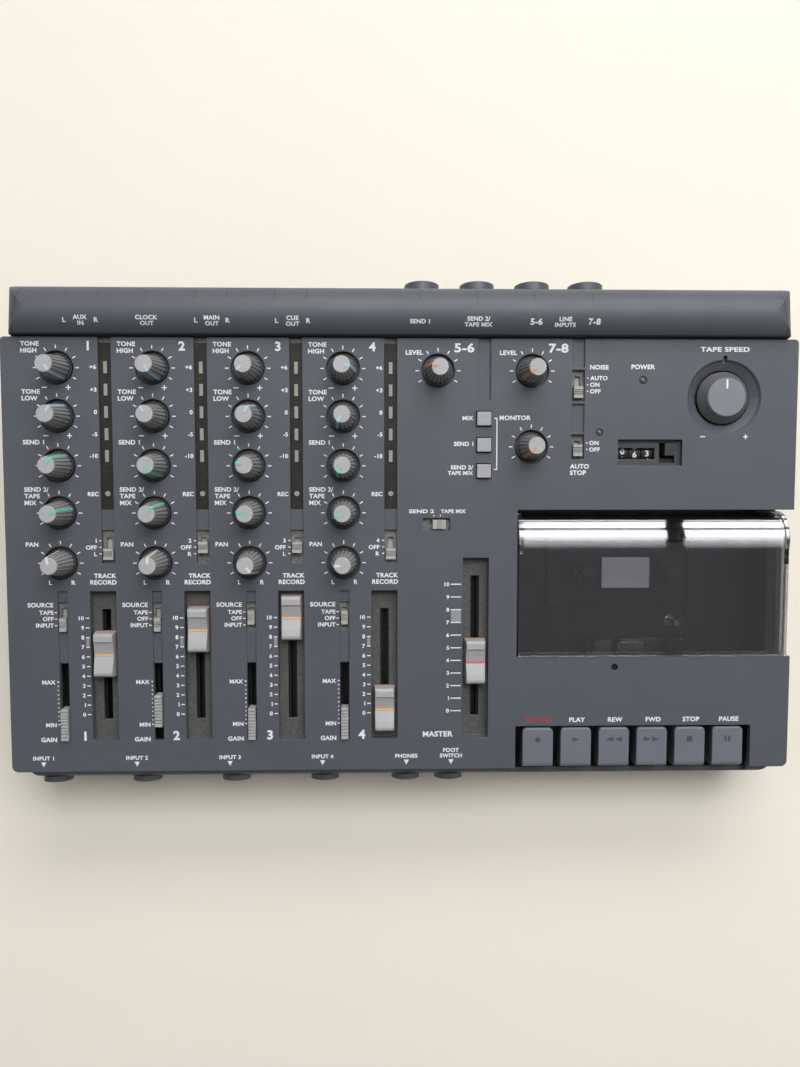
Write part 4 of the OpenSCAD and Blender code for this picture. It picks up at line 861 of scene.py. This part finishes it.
def key_symbols():
    """Tone-on-tone symbols sunk in the keys' tops: record, play, rewind, forward, stop and pause."""
    for i, key in enumerate(KEYS):
        u = KEY_FIRST + KEY_PITCH * i
        v = KEY_SYMBOL_V
        h = (KEY_TOP - 0.02, KEY_TOP + 0.012)
        mark = Piece()
        if key == "record":
            mark.disc(u, v, 1.35, h)
        if key == "play":
            mark.prism([(u - 1.6, v - 1.15), (u + 1.7, v), (u - 1.6, v + 1.15)], *h)
        if key == "rewind":
            for d in (-4.0, 0.2):
                mark.prism([(u + d, v), (u + d + 3.8, v - 1.3), (u + d + 3.8, v + 1.3)], *h)
        if key == "forward":
            for d in (-4.0, 0.2):
                mark.prism([(u + d, v - 1.3), (u + d + 3.8, v), (u + d, v + 1.3)], *h)
        if key == "stop":
            mark.box((u - 1.4, u + 1.4), (v - 1.4, v + 1.4), h)
        if key == "pause":
            for d in (-1.45, 0.35):
                mark.box((u + d, u + d + 1.1), (v - 1.45, v + 1.45), h)
        mark.make("symbol_" + key, DARK_KEY, "key_" + key)


def counter_digits():
    """White figures on the number wheels, bent round them and not quite lined up."""
    wheel_w = (DIGITS_U[1] - DIGITS_U[0]) / 3

    def on_wheel(u, s, h):
        turn, r = s / WHEEL_R, WHEEL_R + h
        return at(u, COUNTER[1] + r * math.sin(turn), WHEEL_TOP - WHEEL_R + r * math.cos(turn))
    ink = Piece(on_wheel)
    step = 2 * math.pi * WHEEL_R / 10
    for i, (digit, slip) in enumerate(((0, 0.7), (6, -0.9), (3, -0.3))):
        u = DIGITS_U[0] + wheel_w * (i + 0.5)
        for d in (-1, 0, 1):
            ink.text(str((digit - d) % 10), u, -1.4 + slip + d * step, 2.9, "CENTER")
    ink.make("counter_digits", WHITE_INK, "case")


def well_details():
    """What shows through the lid: the ribbed reflector plate and the raised guide in front of it."""
    u, v = SPINDLE
    plate = Piece()
    ridge, count = 0.55, 17
    plate_v = (v - 8.2, v + 7.4)
    pitch = (plate_v[1] - plate_v[0]) / count
    plate.box((u - 12.2, u + 12.2), plate_v, (WELL_H + 1.55, WELL_H + 1.75))
    for i in range(count):
        foot = plate_v[0] + pitch * i
        plate.box((u - 12.0, u + 12.0), (foot + 0.1, foot + 0.1 + ridge), (WELL_H + 1.7, WELL_H + 2.05))
    plate.make("reflector_plate", plastic("reflector_plastic", srgb(232, 230, 228), rough=0.35, bump=0.05),
               "case")

    # A raised guide round the heads, with a low ridge along its edge
    ridge_u, ridge_v = (u - 25.5, u + 30.5), v - 16.2
    guide = Piece()
    guide.bar((ridge_u[0], ridge_v), (ridge_u[1], ridge_v), 0.7, (WELL_H - 0.2, WELL_H + 0.35))
    guide.bar((ridge_u[0], ridge_v), (ridge_u[0] - 3, ridge_v - 11), 0.7, (WELL_H - 0.2, WELL_H + 0.35))
    guide.bar((ridge_u[1], ridge_v), (ridge_u[1] + 3, ridge_v - 11), 0.7, (WELL_H - 0.2, WELL_H + 0.35))
    guide.make("well_guide", plastic("guide_plastic", srgb(24, 24, 25), rough=0.4), "case")


def lamp_domes():
    glass = plastic("lamp_lens", srgb(84, 85, 88), rough=0.2, mottle=0.02, bump=0.0, edge=0.0003)
    dome = Piece()
    for u, v, r in LAMPS:
        rings, sides = 4, 20
        points, faces = [(u, v, -0.42)], []
        for k in range(rings + 1):
            a = math.pi / 2 * k / rings
            for i in range(sides):
                t = 2 * math.pi * i / sides
                points.append((u + r * math.cos(a) * math.cos(t), v + r * math.cos(a) * math.sin(t),
                               -0.42 + 0.5 * r * math.sin(a)))
        for k in range(rings):
            for i in range(sides):
                a, b = 1 + k * sides + i, 1 + k * sides + (i + 1) % sides
                faces.append((a, b, b + sides, a + sides) if k < rings - 1 else (a, b, 1 + rings * sides))
        faces += [(0, 1 + (i + 1) % sides, 1 + i) for i in range(sides)]
        dome.add(points, faces)
    dome.make("lamp_domes", glass, "case")


# ---------------------------------------------------------------- room

def studio():
    floor = bpy.data.meshes.new("floor")
    reach = 6.0
    floor.from_pydata([(-reach, -reach, 0), (reach, -reach, 0), (reach, reach, 0), (-reach, reach, 0)], [],
                      [(0, 1, 2, 3)])
    obj = bpy.data.objects.new("floor", floor)
    bpy.context.scene.collection.objects.link(obj)
    f = Finish("floor_paint", FLOOR, 0.7, shine=0.2)
    f.set(f.shader, {"Base Color": f.mix(f.noise(0.2, 3), shade(FLOOR, 0.97), shade(FLOOR, 1.02))})
    floor.materials.append(f.mat)

    world = bpy.data.worlds.new("room")
    bpy.context.scene.world = world
    world.use_nodes = True
    world.node_tree.nodes["Background"].inputs["Color"].default_value = DAYLIGHT
    world.node_tree.nodes["Background"].inputs["Strength"].default_value = 0.16

    window()
    for name, place, size, watts in (("ceiling", (-1.2, 0.6, 2.0), (1.4, 1.4), 5.5),
                                     ("side", (1.8, -0.6, 1.2), (1.0, 1.0), 4.5)):
        lamp = bpy.data.lights.new(name, "AREA")
        lamp.shape = "RECTANGLE"
        lamp.size, lamp.size_y = size
        lamp.energy = watts
        light = bpy.data.objects.new(name, lamp)
        light.location = place
        light.rotation_euler = (Vector((0, 0, 0.03)) - Vector(place)).to_track_quat("-Z", "Y").to_euler()
        bpy.context.scene.collection.objects.link(light)


def window():
    """A curved screen behind the recorder to its right, bright in panes and bars like a window."""
    reach, steps = 2.2, 32
    x0, x1, low, high = -0.4, 1.40, math.radians(24), math.radians(89)
    # Heights in degrees above the table: a bar, and over it a pane that fades towards its top
    bar_low, bar_high, pane_low, fade_low, fade_high = 28.5, 46, 55, 68, 88
    points = []
    for i in range(steps + 1):
        a = low + (high - low) * i / steps
        points += [(x, reach * math.cos(a), reach * math.sin(a)) for x in (x0, x1)]
    screen = bpy.data.meshes.new("window")
    screen.from_pydata(points, [], [(2 * i, 2 * i + 2, 2 * i + 3, 2 * i + 1) for i in range(steps)])
    f = Finish("window_light", (0, 0, 0, 1), 1.0, shine=0.0)
    place = f.node("SeparateXYZ", {0: f.place()}).outputs
    rise = f.math("DEGREES", f.math("ARCTAN2", place["Z"], place["Y"]))
    pane = f.math("MULTIPLY", f.math("GREATER_THAN", rise, pane_low),
                  f.band(rise, fade_low, fade_high, 7.5, 0.15))
    bar = f.math("MULTIPLY", f.within(rise, bar_low, bar_high), 7)
    post = f.within(place["X"], 0.872, 0.926)
    glow = f.math("MULTIPLY", f.math("ADD", pane, bar), f.math("SUBTRACT", 1, post))
    f.set(f.shader, {"Emission Color": DAYLIGHT, "Emission Strength": glow})
    screen.materials.append(f.mat)
    obj = bpy.data.objects.new("window", screen)
    bpy.context.scene.collection.objects.link(obj)


def camera():
    """The photograph's viewpoint: 0.39 m above the panel, looking almost straight down on it."""
    eye, aim = at(176.5, 139.3, 393.8), at(185.73, 114.44, 0)
    forward = (aim - eye).normalized()
    side = forward.cross(UPHILL).normalized()
    rise = side.cross(forward)
    lens = bpy.data.cameras.new("camera")
    lens.lens, lens.sensor_width = 28.0, 36.0
    lens.clip_start = 0.01
    obj = bpy.data.objects.new("camera", lens)
    obj.matrix_world = Matrix.Translation(eye) @ Matrix((side, rise, -forward)).transposed().to_4x4()
    bpy.context.scene.collection.objects.link(obj)
    bpy.context.scene.camera = obj


camera()
studio()
panel_marks()
hump_marks()
all_pointers()
pitch_line()
fader_inlays()
key_symbols()
counter_digits()
well_details()
lamp_domes()

bpy.context.scene.view_settings.view_transform = "Standard"
